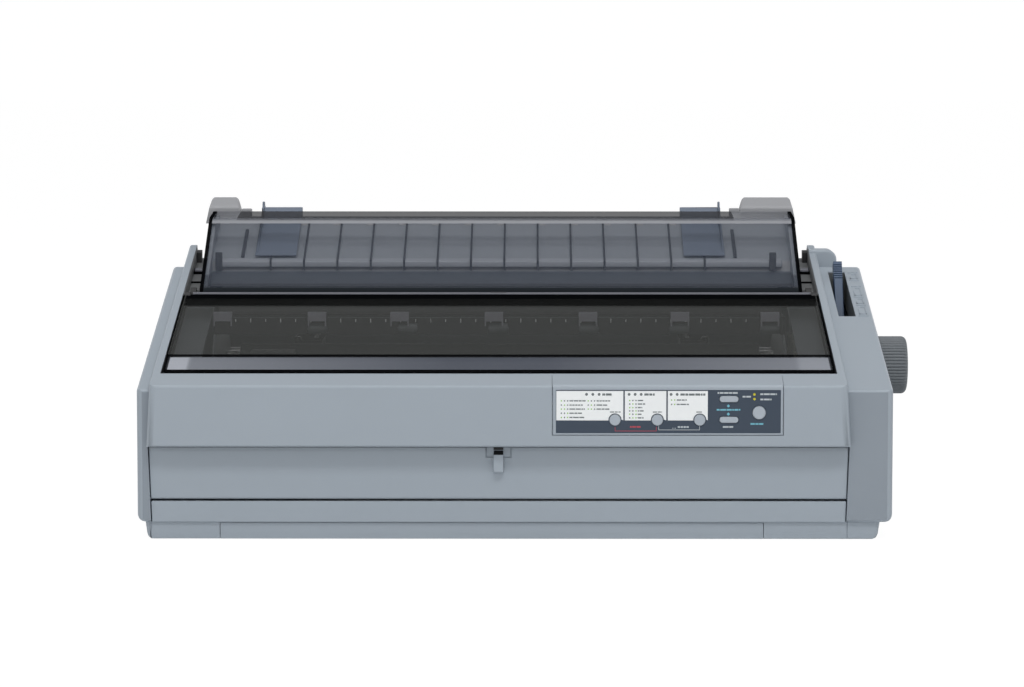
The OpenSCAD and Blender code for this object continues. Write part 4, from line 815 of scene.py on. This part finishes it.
def guide_cover():
    """Smoked cover over the paper guide, with a painted highlight on the crease below its flat top, painted shade
    on its lower lip, and black ends.
    """
    x0, x1, u0, u1, z0, z1 = limits("paper_guide_cover")
    obj = copy_node("paper_guide_cover", "paper_guide_cover_skin")
    join_flats(obj)

    def rim(p, q):
        return same(p[0], q[0]) and (same(p[0], x0) or same(p[0], x1)) and p[2] > z0 + 6 and q[2] > z0 + 6

    round_edges(obj, [
        (1.8, lambda p, q: rim(p, q) and not same(p[1], u1) and not same(q[1], u1)),
        (5.5, lambda p, q: same(p[1], q[1]) and abs(p[0] - q[0]) > LONG_EDGE and p[2] > z1 - 6
         and p[1] < u1 - 5),
    ], segments=5)
    dome_l, dome_r = x0 + 24.6, x1 - 53.6
    split_at(obj, (x0 + 3.2, dome_l, dome_r, x1 - 3.2))
    obj.data.materials[0] = SMOKE_BLUE
    edge_faces(obj, SMOKE_TOP, lambda n, c: n.z > 0.94 and c[1] > CREASE_U - 5 and c[2] > z1 - 9
               and dome_l < c[0] < dome_r)
    # Painted highlight along the crease
    edge_faces(obj, SMOKE_CREASE_HIGHLIGHT, lambda n, c: 0.88 < n.z < 0.943 and n.y < -0.1 and abs(c[1] - CREASE_U) < 8)
    # Lower lip of the guide cover: painted shade
    edge_faces(obj, SMOKE_LIP_SHADE, lambda n, c: c[1] < u0 + 3 and n.z < 0.6)
    edge_faces(obj, SMOKE_EDGE_AND_SHADE, lambda n, c: abs(n.x) > 0.3 or not x0 + 3.2 < c[0] < x1 - 3.2)
    shade(obj)
    settle(obj, "guide_cover", "smoked_plastic", "paper_guide_cover")


def rail_strip(name, x0, x1, u0, u1, floor, height, material, body, slot, radius=0.25):
    """Block whose underside follows floor(u), with slightly rounded edges."""
    outline = [(u0, floor(u0)), (u1, floor(u1)), (u1, floor(u1) + height), (u0, floor(u0) + height)]
    obj = prism(name, outline, "x", x0, x1, material)
    round_edges(obj, [(radius, any_edge)], segments=2)
    shade(obj, 60)
    settle(obj, body, slot)


def cover_hinges():
    """Rod along the printer cover's rear edge, its knuckles and catch, the strips of painted shade in front of the
    rod, and a sheet of painted light and shade under the front band."""
    u0, u1 = limits("printer_cover")[2:4]
    left, right = LI + LID_SIDE_GAP, RI - LID_SIDE_GAP
    height = deck(u1) + 0.1
    rod = prism("cover_rod", arc(u1 + 1.5, height, 1.7, 0, 345, 23), "x", left + 7, right - 1, ROD)
    shade(rod, 50)
    settle(rod, "printer_cover", "smoked_plastic")
    for side, start, end in (("left", left, left + 5.5), ("right", right - 5.5, right)):
        knuckle = prism("cover_knuckle_" + side, arc(u1 - 1, height - 2, 4.2, 0, 345, 23), "x", start, end,
                        MATERIALS["black_plastic"])
        round_edges(knuckle, [(0.9, lambda p, q: same(p[0], q[0]))], segments=3)
        shade(knuckle, 50)
        settle(knuckle, "printer_cover", "smoked_plastic")
    # Painted shade on the lid in front of the rod: a black strip, then a fainter one
    for name, start, end, material in (("cover_rear_shade", u1 - 13.5, u1 - 2.2, SMOKE_EDGE_AND_SHADE),
                                       ("cover_rear_shade_fade", u1 - 32, u1 - 13.6, SMOKE_SHADE_FADE)):
        strip = prism(name, [(u, deck(u) + LID_RISE + rise) for u, rise in (
            (start, 0.02), (end, 0.02), (end, 0.1), (start, 0.1))], "x", left + 2, right - 2, material)
        settle(strip, "printer_cover", "smoked_plastic")
    # Sheet under the front band: painted light at its ends, painted shade towards the middle
    low, high = u0 + 6.5, u0 + LID_BAND - 2
    band_light = prism("cover_band_painted_light", [(u, deck(u) + LID_RISE - BAND_DROP + rise) for u, rise in (
        (low, -0.6), (high, -0.6), (high, -0.3), (low, -0.3))], "x", left + 2.8, right - 2.8, BAND_PAINTED_LIGHT)
    settle(band_light, "printer_cover", "smoked_plastic")
    catch = block("cover_catch", MID - 9, MID + 5, u1 + 0.5, u1 + 3.5, height - 3.5, height + 1.9,
                  MATERIALS["black_plastic"])
    round_edges(catch, [(0.6, any_edge)], segments=2)
    settle(catch, "printer_cover", "smoked_plastic")


def bay_sides():
    """Sheets of painted shade on the walls and floor of the bay beside the paper guide, with a pale cross bar and
    a catch at each rear end.
    """
    guide_l, guide_r = limits("paper_guide_cover")[:2]
    for side, wall, guide in (("left", LI, guide_l - 0.6), ("right", RI, guide_r + 0.6)):
        out = 1 if side == "left" else -1

        def between(a, b):
            near, far = wall + out * a, guide if b is None else wall + out * b
            return min(near, far), max(near, far)

        def bay_floor(u):
            return deck(u) - 13 + 0.05

        for name, a, b, u0, u1, rise, height, material in (
            ("wall", 0.05, 0.75, 232, 361, 0, 11.2, BAY_SHADE),
            ("floor", 0.8, None, 262, 361, 0, 1.2, BAY_SHADE),
            # Black strips under the cross bar and at the step: painted shade
            ("bar_painted_shade", 0.8, None, 318, 331, 1.2, 1.4, SMOKE_EDGE_AND_SHADE),
            ("bar", 1.6, None, 321, 327, 2.6, 1.6, SMOKE_RIM),
            ("step", 0.8, None, 293, 297, 1.2, 0.5, SMOKE_EDGE_AND_SHADE),
            ("catch", 0.8, 5.2, 351, 359, 1.2, 9.0, MATERIALS["black_plastic"]),
        ):
            x0, x1 = between(a, b)
            rail_strip(f"bay_{name}_{side}", x0, x1, u0, u1, lambda u: bay_floor(u) + rise, height, material,
                       "casing", "black_plastic", 0.2)
        x0, x1 = between(0.03, 0.4)
        rail_strip("rail_shade_" + side, x0, x1, BAY_U + 0.5, 231, bay_floor, 12.2, GUIDE_DARK, "casing",
                   "black_plastic", 0.1)


def paper_guide():
    """Ribbed paper guide with domed ends: its front lip, paler by a painted highlight, and the hooks, clips, arms
    and steps on it. Its plate and the apron below it carry painted shade.
    """
    x0, x1, _, _, _, z1 = limits("paper_guide")
    back = limits("paper_guide_cover")[3]
    rib_count, rib_pitch = 14, 29.16
    rib_start = MID - (rib_count - 1) / 2 * rib_pitch - 12

    def dome(p, q):
        return min(p[1], q[1]) > back + 0.5 and max(p[2], q[2]) > z1 - 13 and min(p[2], q[2]) > z1 - 19 and (
            max(p[0], q[0]) < x0 + 36 or min(p[0], q[0]) > x1 - 55)

    obj = copy_node("paper_guide", "paper_guide_skin")
    join_flats(obj)
    round_edges(obj, [(0.8, dome)], segments=3)

    def rib(n, c):
        place = (c[0] - rib_start) / rib_pitch
        on_rib = abs(place - round(place)) * rib_pitch < 1 and -0.5 < place < rib_count - 0.5
        return on_rib and PLATE_U < c[1] < back + 3 and (n.z > 0.5 or abs(n.x) > 0.9)

    # Plate under the cover: painted shade
    edge_faces(obj, GUIDE_PLATE_SHADE, lambda n, c: PLATE_U - 0.1 < c[1] < back + 1 and n.z > 0.5)
    # Apron below the plate: painted shade
    edge_faces(obj, GUIDE_APRON_SHADE, lambda n, c: c[1] < PLATE_U - 0.1)
    edge_faces(obj, RIB_SHADE, rib)
    shade(obj)
    settle(obj, "paper_guide", "guide_plastic", "paper_guide")
    # Front lip of the plate, paler: a painted highlight on its rounded edge
    rail_strip("guide_lip_highlight", x0 + 22, x1 - 22, PLATE_U - 3, PLATE_U + 4, lambda u: plate(u) - 4.5, 5.3,
               GUIDE_LIP_HIGHLIGHT, "paper_guide", "guide_plastic", 1.2)
    # Hooks of the ribs over the plate's front edge, and clips at its rear edge
    front, rear = plate(PLATE_U), plate(back - 1)
    near, far = PLATE_U + 5, back - 22
    for i in range(rib_count):
        x = rib_start + i * rib_pitch
        hook = prism(f"rib_hook_{i}", [(PLATE_U - 3.6, front + 0.6), (near, plate(near) + 1.9),
                                       (near, plate(near) - 1), (PLATE_U - 2.4, front - 8),
                                       (PLATE_U - 3.6, front - 8)], "x", x - 0.9, x + 0.9, RIB_SHADE)
        settle(hook, "paper_guide", "guide_plastic")
        lean = -1 if i < 8 else 1
        clip = prism(f"rib_clip_{i}", [(back - 9, plate(back - 9) + 0.1), (back - 8, plate(back - 8) + 1.2),
                                       (back - 1, rear + 1.9), (back + 1, rear + 0.1)], "x",
                     x + min(lean * 1.2, lean * 7), x + max(lean * 1.2, lean * 7), MATERIALS["guide_plastic"])
        round_edges(clip, [(0.5, lambda p, q: min(p[2], q[2]) > plate(back - 9) + 1)], segments=2)
        settle(clip, "paper_guide", "guide_plastic")
    for side, start, end in (("left", -277, -271), ("right", 206.5, 212.5)):
        support = block("guide_support_" + side, start, end, PLATE_U - 4, PLATE_U - 1.5, 197, 213, GUIDE_DARK)
        round_edges(support, [(0.6, any_edge)], segments=2)
        settle(support, "paper_guide", "guide_plastic")
    for side, start, end, top in (("left", -260.8, -251.8, 246.4), ("right", 176.1, 185.1, 246.9)):
        step = block("dome_step_" + side, start, end, back + 2, back + 8, 234, top,
                     MATERIALS["guide_plastic"])
        round_edges(step, [(1, lambda p, q: min(p[2], q[2]) > 240)], segments=3)
        shade(step)
        settle(step, "paper_guide", "guide_plastic")
    for side, x in (("left", x0 + 40.6), ("right", x1 - 62.6)):
        arm = prism("guide_arm_" + side, [(near, plate(near) + 0.1), (near, plate(near) + 2.4),
                                          (far, plate(far) + 2.4), (far, plate(far) + 0.1)], "x",
                    x - 1.4, x + 1.4, RIB_SHADE)
        round_edges(arm, [(0.5, any_edge)], segments=2)
        settle(arm, "paper_guide", "guide_plastic")


printer_cover()
guide_cover()
cover_hinges()
bay_sides()
paper_guide()
for side in ("left", "right"):
    soften("edge_guide_" + side, 0.5, least=3)


# ---- Control panel ----

PANEL_L = limits("panel_bezel")[0]


def plates(name, rows, u, depth, materials):
    """Thin printed marks on an upright face. A row is (outline in (x, z), index of its material)."""
    bm = bmesh.new()
    indices = []
    for outline, index in rows:
        front = [bm.verts.new(at(x, u - depth, z)) for x, z in outline]
        rear = [bm.verts.new(at(x, u, z)) for x, z in outline]
        count = len(outline)
        bm.faces.new(front)
        bm.faces.new(rear[::-1])
        for i in range(count):
            bm.faces.new((front[i], rear[i], rear[(i + 1) % count], front[(i + 1) % count]))
        indices += [index] * (count + 2)
    obj = to_obj(name, bm, materials[0])
    for material in materials[1:]:
        obj.data.materials.append(material)
    for face, index in zip(obj.data.polygons, indices):
        face.material_index = index
    return obj


def bar(x0, x1, z, height):
    """Outline of a bar centred on height z."""
    half = height / 2
    return [(x0, z - half), (x1, z - half), (x1, z + half), (x0, z + half)]


def dot(x, z, r, steps=12):
    """Outline of a dot."""
    turns = [math.tau * i / steps for i in range(steps)]
    return [(x + r * math.cos(turn), z + r * math.sin(turn)) for turn in turns]


def words(x0, x1, z, height, seed):
    """Short bars in place of a printed label: x0 to x1, split into word-like lengths."""
    rows = []
    x = x0
    step = seed
    while x < x1 - 0.3:
        step = (step * 5 + 3) % 7
        end = min(x + 1.3 + step * 0.55, x1)
        rows.append(bar(x, end, z, height))
        x = end + 0.45
    return rows


def panel_print():
    """White fields with rows of dots and label bars, and the marks on the dark film."""
    white, dark, green, red, cyan, pale = range(6)
    rows = []

    def put(outline, index):
        rows.append(([(PANEL_L + x, z) for x, z in outline], index))

    low, high, notch_z, notch_r = 97.9, 121.4, 98.2, 5.25
    for x0, x1, key in ((3.2, 56.5, 49.9), (57.7, 90.7, 83.6), (91.9, 123.7, 117.4)):
        notch = [(key + notch_r * math.cos(math.radians(a)), notch_z + notch_r * math.sin(math.radians(a)))
                 for a in range(184, -5, -12)]
        put([(x0, low)] + notch + [(x1, low), (x1, high), (x0, high)], white)
    board = plates("panel_fields", rows, 0, 0.05, [PRINTS[white]])
    settle(board, "casing", "panel_film")
    rows.clear()

    def label(x0, x1, z, height, index, seed):
        for outline in words(x0, x1, z, height, seed):
            put(outline, index)

    columns = [
        (7.2, (13.6, 26.5), (113.5, 110.1, 106.9, 103.6, 100.2)),
        (28.6, (35.2, 47.0), (113.5, 110.1, 106.9)),
        (61.6, (68.0, 74.2), (113.8, 111.0, 108.1, 105.5, 102.8, 99.9)),
        (94.9, (99.0, 110.0), (114.2, 110.7)),
    ]
    for column, (x, (word0, word1), heights) in enumerate(columns):
        for row, z in enumerate(heights):
            for k in range(2 if column == 3 else 3):
                lit = (row + 1 >> k) & 1
                put(dot(x + k * 2.5, z, 0.62, 8), green if lit or column == 3 and row == 0 else dark)
            label(word0, word1 - (row * 2.3 + column) % 4, z, 1.0, dark, row + column)
    for x0, x1, dots in ((39.7, 47.3, (27.2, 32.2, 37.2)), (73.2, 81.4, (61.1, 65.9, 70.7)),
                         (101.9, 121.8, (94.5, 99.3))):
        label(x0, x1, 118.6, 1.7, dark, int(x0))
        for x in dots:
            put(dot(x, 118.7, 1.15), dark)
    for x0, x1 in ((45.8, 54.4), (80.0, 87.3), (114.6, 119.0)):
        label(x0, x1, 104.6, 0.8, dark, int(x0))
    board = plates("panel_marks", rows, -0.05, 0.04, PRINTS)
    settle(board, "casing", "panel_film")
    rows.clear()
    for x0, x1, z, index in (
        (131.5, 147.4, 119.9, pale), (151.4, 158.0, 116.9, pale), (165.5, 178.6, 118.9, pale),
        (165.5, 174.4, 114.7, pale), (130.8, 149.6, 106.4, cyan), (135.8, 144.0, 92.7, pale),
        (157.8, 168.0, 95.1, cyan), (61.9, 70.3, 92.7, red), (99.9, 109.2, 92.6, pale),
    ):
        label(x0, x1, z, 1.3, index, int(x0))
    for z in (109.5, 103.0):
        put(dot(140.1, z, 1.3, 4), cyan)
    for (x0, x1, low, high), index in (((49.8, 83.0, 89.4, 92.6), red), ((84.5, 117.4, 90.3, 93.2), pale)):
        put(bar(x0, x1, low, 0.4), index)
        put(bar(x0, x0 + 0.4, (low + high) / 2 + 0.21, high - low - 0.02), index)
        put(bar(x1 - 0.4, x1, (low + high) / 2 + 0.21, high - low - 0.02), index)
    for k in range(2):
        put(dot(96 + k * 1.8, 91.6, 0.4, 8), pale)
    board = plates("film_marks", rows, 0, 0.05, PRINTS)
    settle(board, "casing", "panel_film")


panel_print()
for node in ("button_font", "button_pitch", "button_tear_off", "button_load_eject", "button_line_feed",
             "button_pause"):
    face = limits(node)[2]
    soften(node, 0.55, least=0.01, angle=40, pick=lambda p, q: same(p[1], face) and same(q[1], face))


# ---- Knob and lever ----

def platen_knob():
    """Ridged knob with a rounded rim and a dished end."""
    x0, x1, u0, u1, z0, z1 = limits("platen_knob")
    cu, cz, radius = (u0 + u1) / 2, (z0 + z1) / 2, (z1 - z0) / 2
    ridges = 54
    around = ridges * 8
    profile = [(x0, 4.2, 0), (x0, radius - 4, 0), (x0, radius - 1.6, 0), (x0 + 1.0, radius - 0.2, 0.8)]
    profile += [(x0 + 1 + k * (x1 - x0 - 5.2) / 6, radius - 0.1, 1.0) for k in range(1, 7)]
    rim = 4.2
    for a in (math.radians(20), math.radians(40), math.radians(60), math.radians(80)):
        profile.append((x1 - rim + rim * math.sin(a), radius - 0.1 - rim * (1 - math.cos(a)), math.cos(a)))
    profile += [(x1, radius - 5.2, 0), (x1 - 0.4, radius - 6.0, 0), (x1 - 3.6, radius - 6.8, 0),
                (x1 - 4.4, radius - 8.5, 0), (x1 - 4.4, 9, 0), (x1 - 2.4, 8, 0), (x1 - 2.0, 6.5, 0),
                (x1 - 2.0, 0.6, 0)]
    bm = bmesh.new()
    rings = []
    for x, r, depth in profile:
        ring = []
        for i in range(around):
            turn = math.tau * i / around
            wave = abs(math.sin(ridges * turn / 2)) ** 0.7
            rr = r - depth * (1 - wave)
            ring.append(bm.verts.new(at(x, cu + rr * math.cos(turn), cz + rr * math.sin(turn))))
        rings.append(ring)
    for a, b in zip(rings, rings[1:]):
        for i in range(around):
            j = (i + 1) % around
            bm.faces.new((a[i], a[j], b[j], b[i]))
    bm.faces.new(rings[0])
    bm.faces.new(rings[-1])
    obj = to_obj("platen_knob_skin", bm, MATERIALS["knob_plastic"])
    shade(obj, 40)
    settle(obj, "platen", "knob_plastic", "platen_knob")


def release_lever():
    """Blue lever with cross ridges near its tip."""
    x0, x1, _, _, _, z1 = limits("paper_release_lever")
    _, pivot_u, pivot_z = axis_of("release_lever_swing")
    hub, half = 8, 5.5
    lean = math.radians(LEVER_LEAN)
    along = Vector((math.sin(lean), math.cos(lean)))
    across = Vector((-math.cos(lean), math.sin(lean)))
    length = (z1 - pivot_z - half * abs(across.y) * 0.45) / along.y

    def place(a, b):
        point = along * a + across * b
        return pivot_u + point.x, pivot_z + point.y

    local = [(0, -half), (0, half)]
    first = length - 18.5
    for k in range(7):
        start = first + k * 2.15
        local += [(start, half), (start + 0.4, half - 0.8), (start + 1.1, half - 0.8), (start + 1.5, half)]
    local += arc(length - 3, half - 3, 3, 80, 10, 5) + arc(length - 3, 3 - half, 3, -10, -80, 5)
    obj = prism("paper_release_lever_skin", [place(a, b) for a, b in local], "x", x0, x1, LEVER)
    round_edges(obj, [(0.7, lambda p, q: same(p[0], q[0]) and math.hypot(p[1] - q[1], p[2] - q[2]) > 2.2)],
                segments=3)
    ring = prism("hub", arc(pivot_u, pivot_z, hub, 0, 352.5, 47), "x", x0 + 0.02, x1 - 0.02)
    boolean(obj, ring, "UNION")
    bore = prism("bore", arc(pivot_u, pivot_z, 3.2, 0, 350, 35), "x", x0 - 1, x1 + 1)
    boolean(obj, bore, "DIFFERENCE")
    obj.data.materials.clear()
    obj.data.materials.append(LEVER)
    for face in obj.data.polygons:
        face.material_index = 0
    shade(obj)
    settle(obj, "release_lever", "blue_plastic", "paper_release_lever")


platen_knob()
release_lever()


# ---- Details of the casing ----

def slot_shade_walls():
    """Walls that hang below the lever slot, in a darker grey: painted shade inside the slot."""
    x0, x1, u0, u1 = SLOT_X, SLOT_X + SLOT_W, SLOT_U, SLOT_U + SLOT_LEN
    depth = 24
    outline = [(u0 - 1.2, shoulder(u0 - 1.2) - 1), (u1 + 1.2, shoulder(u1 + 1.2) - 1),
               (u1 + 1.2, shoulder(u1 + 1.2) - depth), (u0 - 1.2, shoulder(u0 - 1.2) - depth)]
    obj = prism("lever_slot_liner", outline, "x", x0 - 1.2, x1 + 1.2, SLOT_SHADE)
    hole = prism("hole", [(u0 + 0.02, -10), (u1 - 0.02, -10), (u1 - 0.02, 300), (u0 + 0.02, 300)], "x",
                 x0 + 0.02, x1 - 0.02)
    boolean(obj, hole, "DIFFERENCE")
    shade(obj)
    settle(obj, "casing", "black_plastic")


def lever_marks():
    """Raised lines beside the lever slot: cell borders, and a generic sheet outline in each cell."""
    bm = bmesh.new()

    def strip(x0, x1, u0, u1):
        points = [(x0, u0), (x1, u0), (x1, u1), (x0, u1)]
        low = [bm.verts.new(at(x, u, shoulder(u) - 0.1)) for x, u in points]
        high = [bm.verts.new(at(x, u, shoulder(u) + 0.6)) for x, u in points]
        bm.faces.new(low)
        bm.faces.new(high)
        for i in range(4):
            bm.faces.new((low[i], low[(i + 1) % 4], high[(i + 1) % 4], high[i]))

    left, right = SLOT_X + SLOT_W + 2.5, XR - 4
    middle = (left + right) / 2
    cells = [(194.5, 222.6), (222.6, 244), (244, 273), (289.5, 310.7)]
    for u in sorted({u for cell in cells for u in cell}):
        strip(left, right, u - 0.6, u + 0.6)
    for near, far in cells:
        low, high = near + 4.5, far - 4.5
        for x0, x1, u0, u1 in ((-3.2, 3.2, low, low + 1.2), (-1.2, 3.2, high - 1.2, high),
                               (-3.2, -2.5, low, high - 6), (2.5, 3.2, low, high)):
            strip(middle + x0, middle + x1, u0, u1)
    obj = to_obj("lever_marks", bm, CASE)
    settle(obj, "casing", "case_plastic")


def tension_scale():
    """Printed scale along the tension unit's front face, and the blocks that hold its star rollers."""
    x0, x1, u0, _, _, z1 = limits("tension_unit")
    body = BODY_OF["tension_unit"]
    ticks = [(bar(x - 0.4, x + 0.4, z1 - 3.2, 3.4 if k % 2 else 2.4), 0)
             for k, x in ((k, x0 + 18.5 + k * 12.7) for k in range(36))]
    ticks.append((bar(x0 + 14, x1 - 14, z1 - 0.6, 0.5), 1))
    settle(plates("tension_scale", ticks, u0, 0.05, [PRINTS[0], PRINTS[1]]), body, "black_plastic")
    half, leg_w = 7.8, 1.2
    for number, x in enumerate((x0 + 7.5, -182.5, -112.6, -32.7, 46.9, 124.7, 200.8)):
        holder = block(f"roller_holder_{number}", x - half, x + half, u0 - 1.4, u0 + 8, z1 - 3.8, z1 + 3.6,
                       HOLDER)
        for start in (x - half, x + half - leg_w):
            leg = block("leg", start, start + leg_w, u0 - 1.2, u0 + 6, z1 - 8, z1 - 3, HOLDER)
            boolean(holder, leg, "UNION")
        wheel = prism("wheel", arc(u0 + 2, z1 + 0.4, 2.6, 0, 330, 11), "x", x - 4, x + 4, HOLDER)
        boolean(holder, wheel, "UNION")
        shade(holder)
        settle(holder, body, "black_plastic")


slot_shade_walls()
lever_marks()
tension_scale()


bpy.context.scene.view_settings.view_transform = "Standard"
make_camera()
make_world()
make_floor()
area_light("top", (-0.1, -0.2, 3.0), (0, 0, 0.1), (2.4, 1.2), 17)
area_light("front", (0.3, -2.2, 2.95), (0, 0, 0.1), (3.0, 0.7), 38)
area_light("edge", (0, -3.3, 1.25), (0, 0, 0.1), (3.2, 0.16), 8)
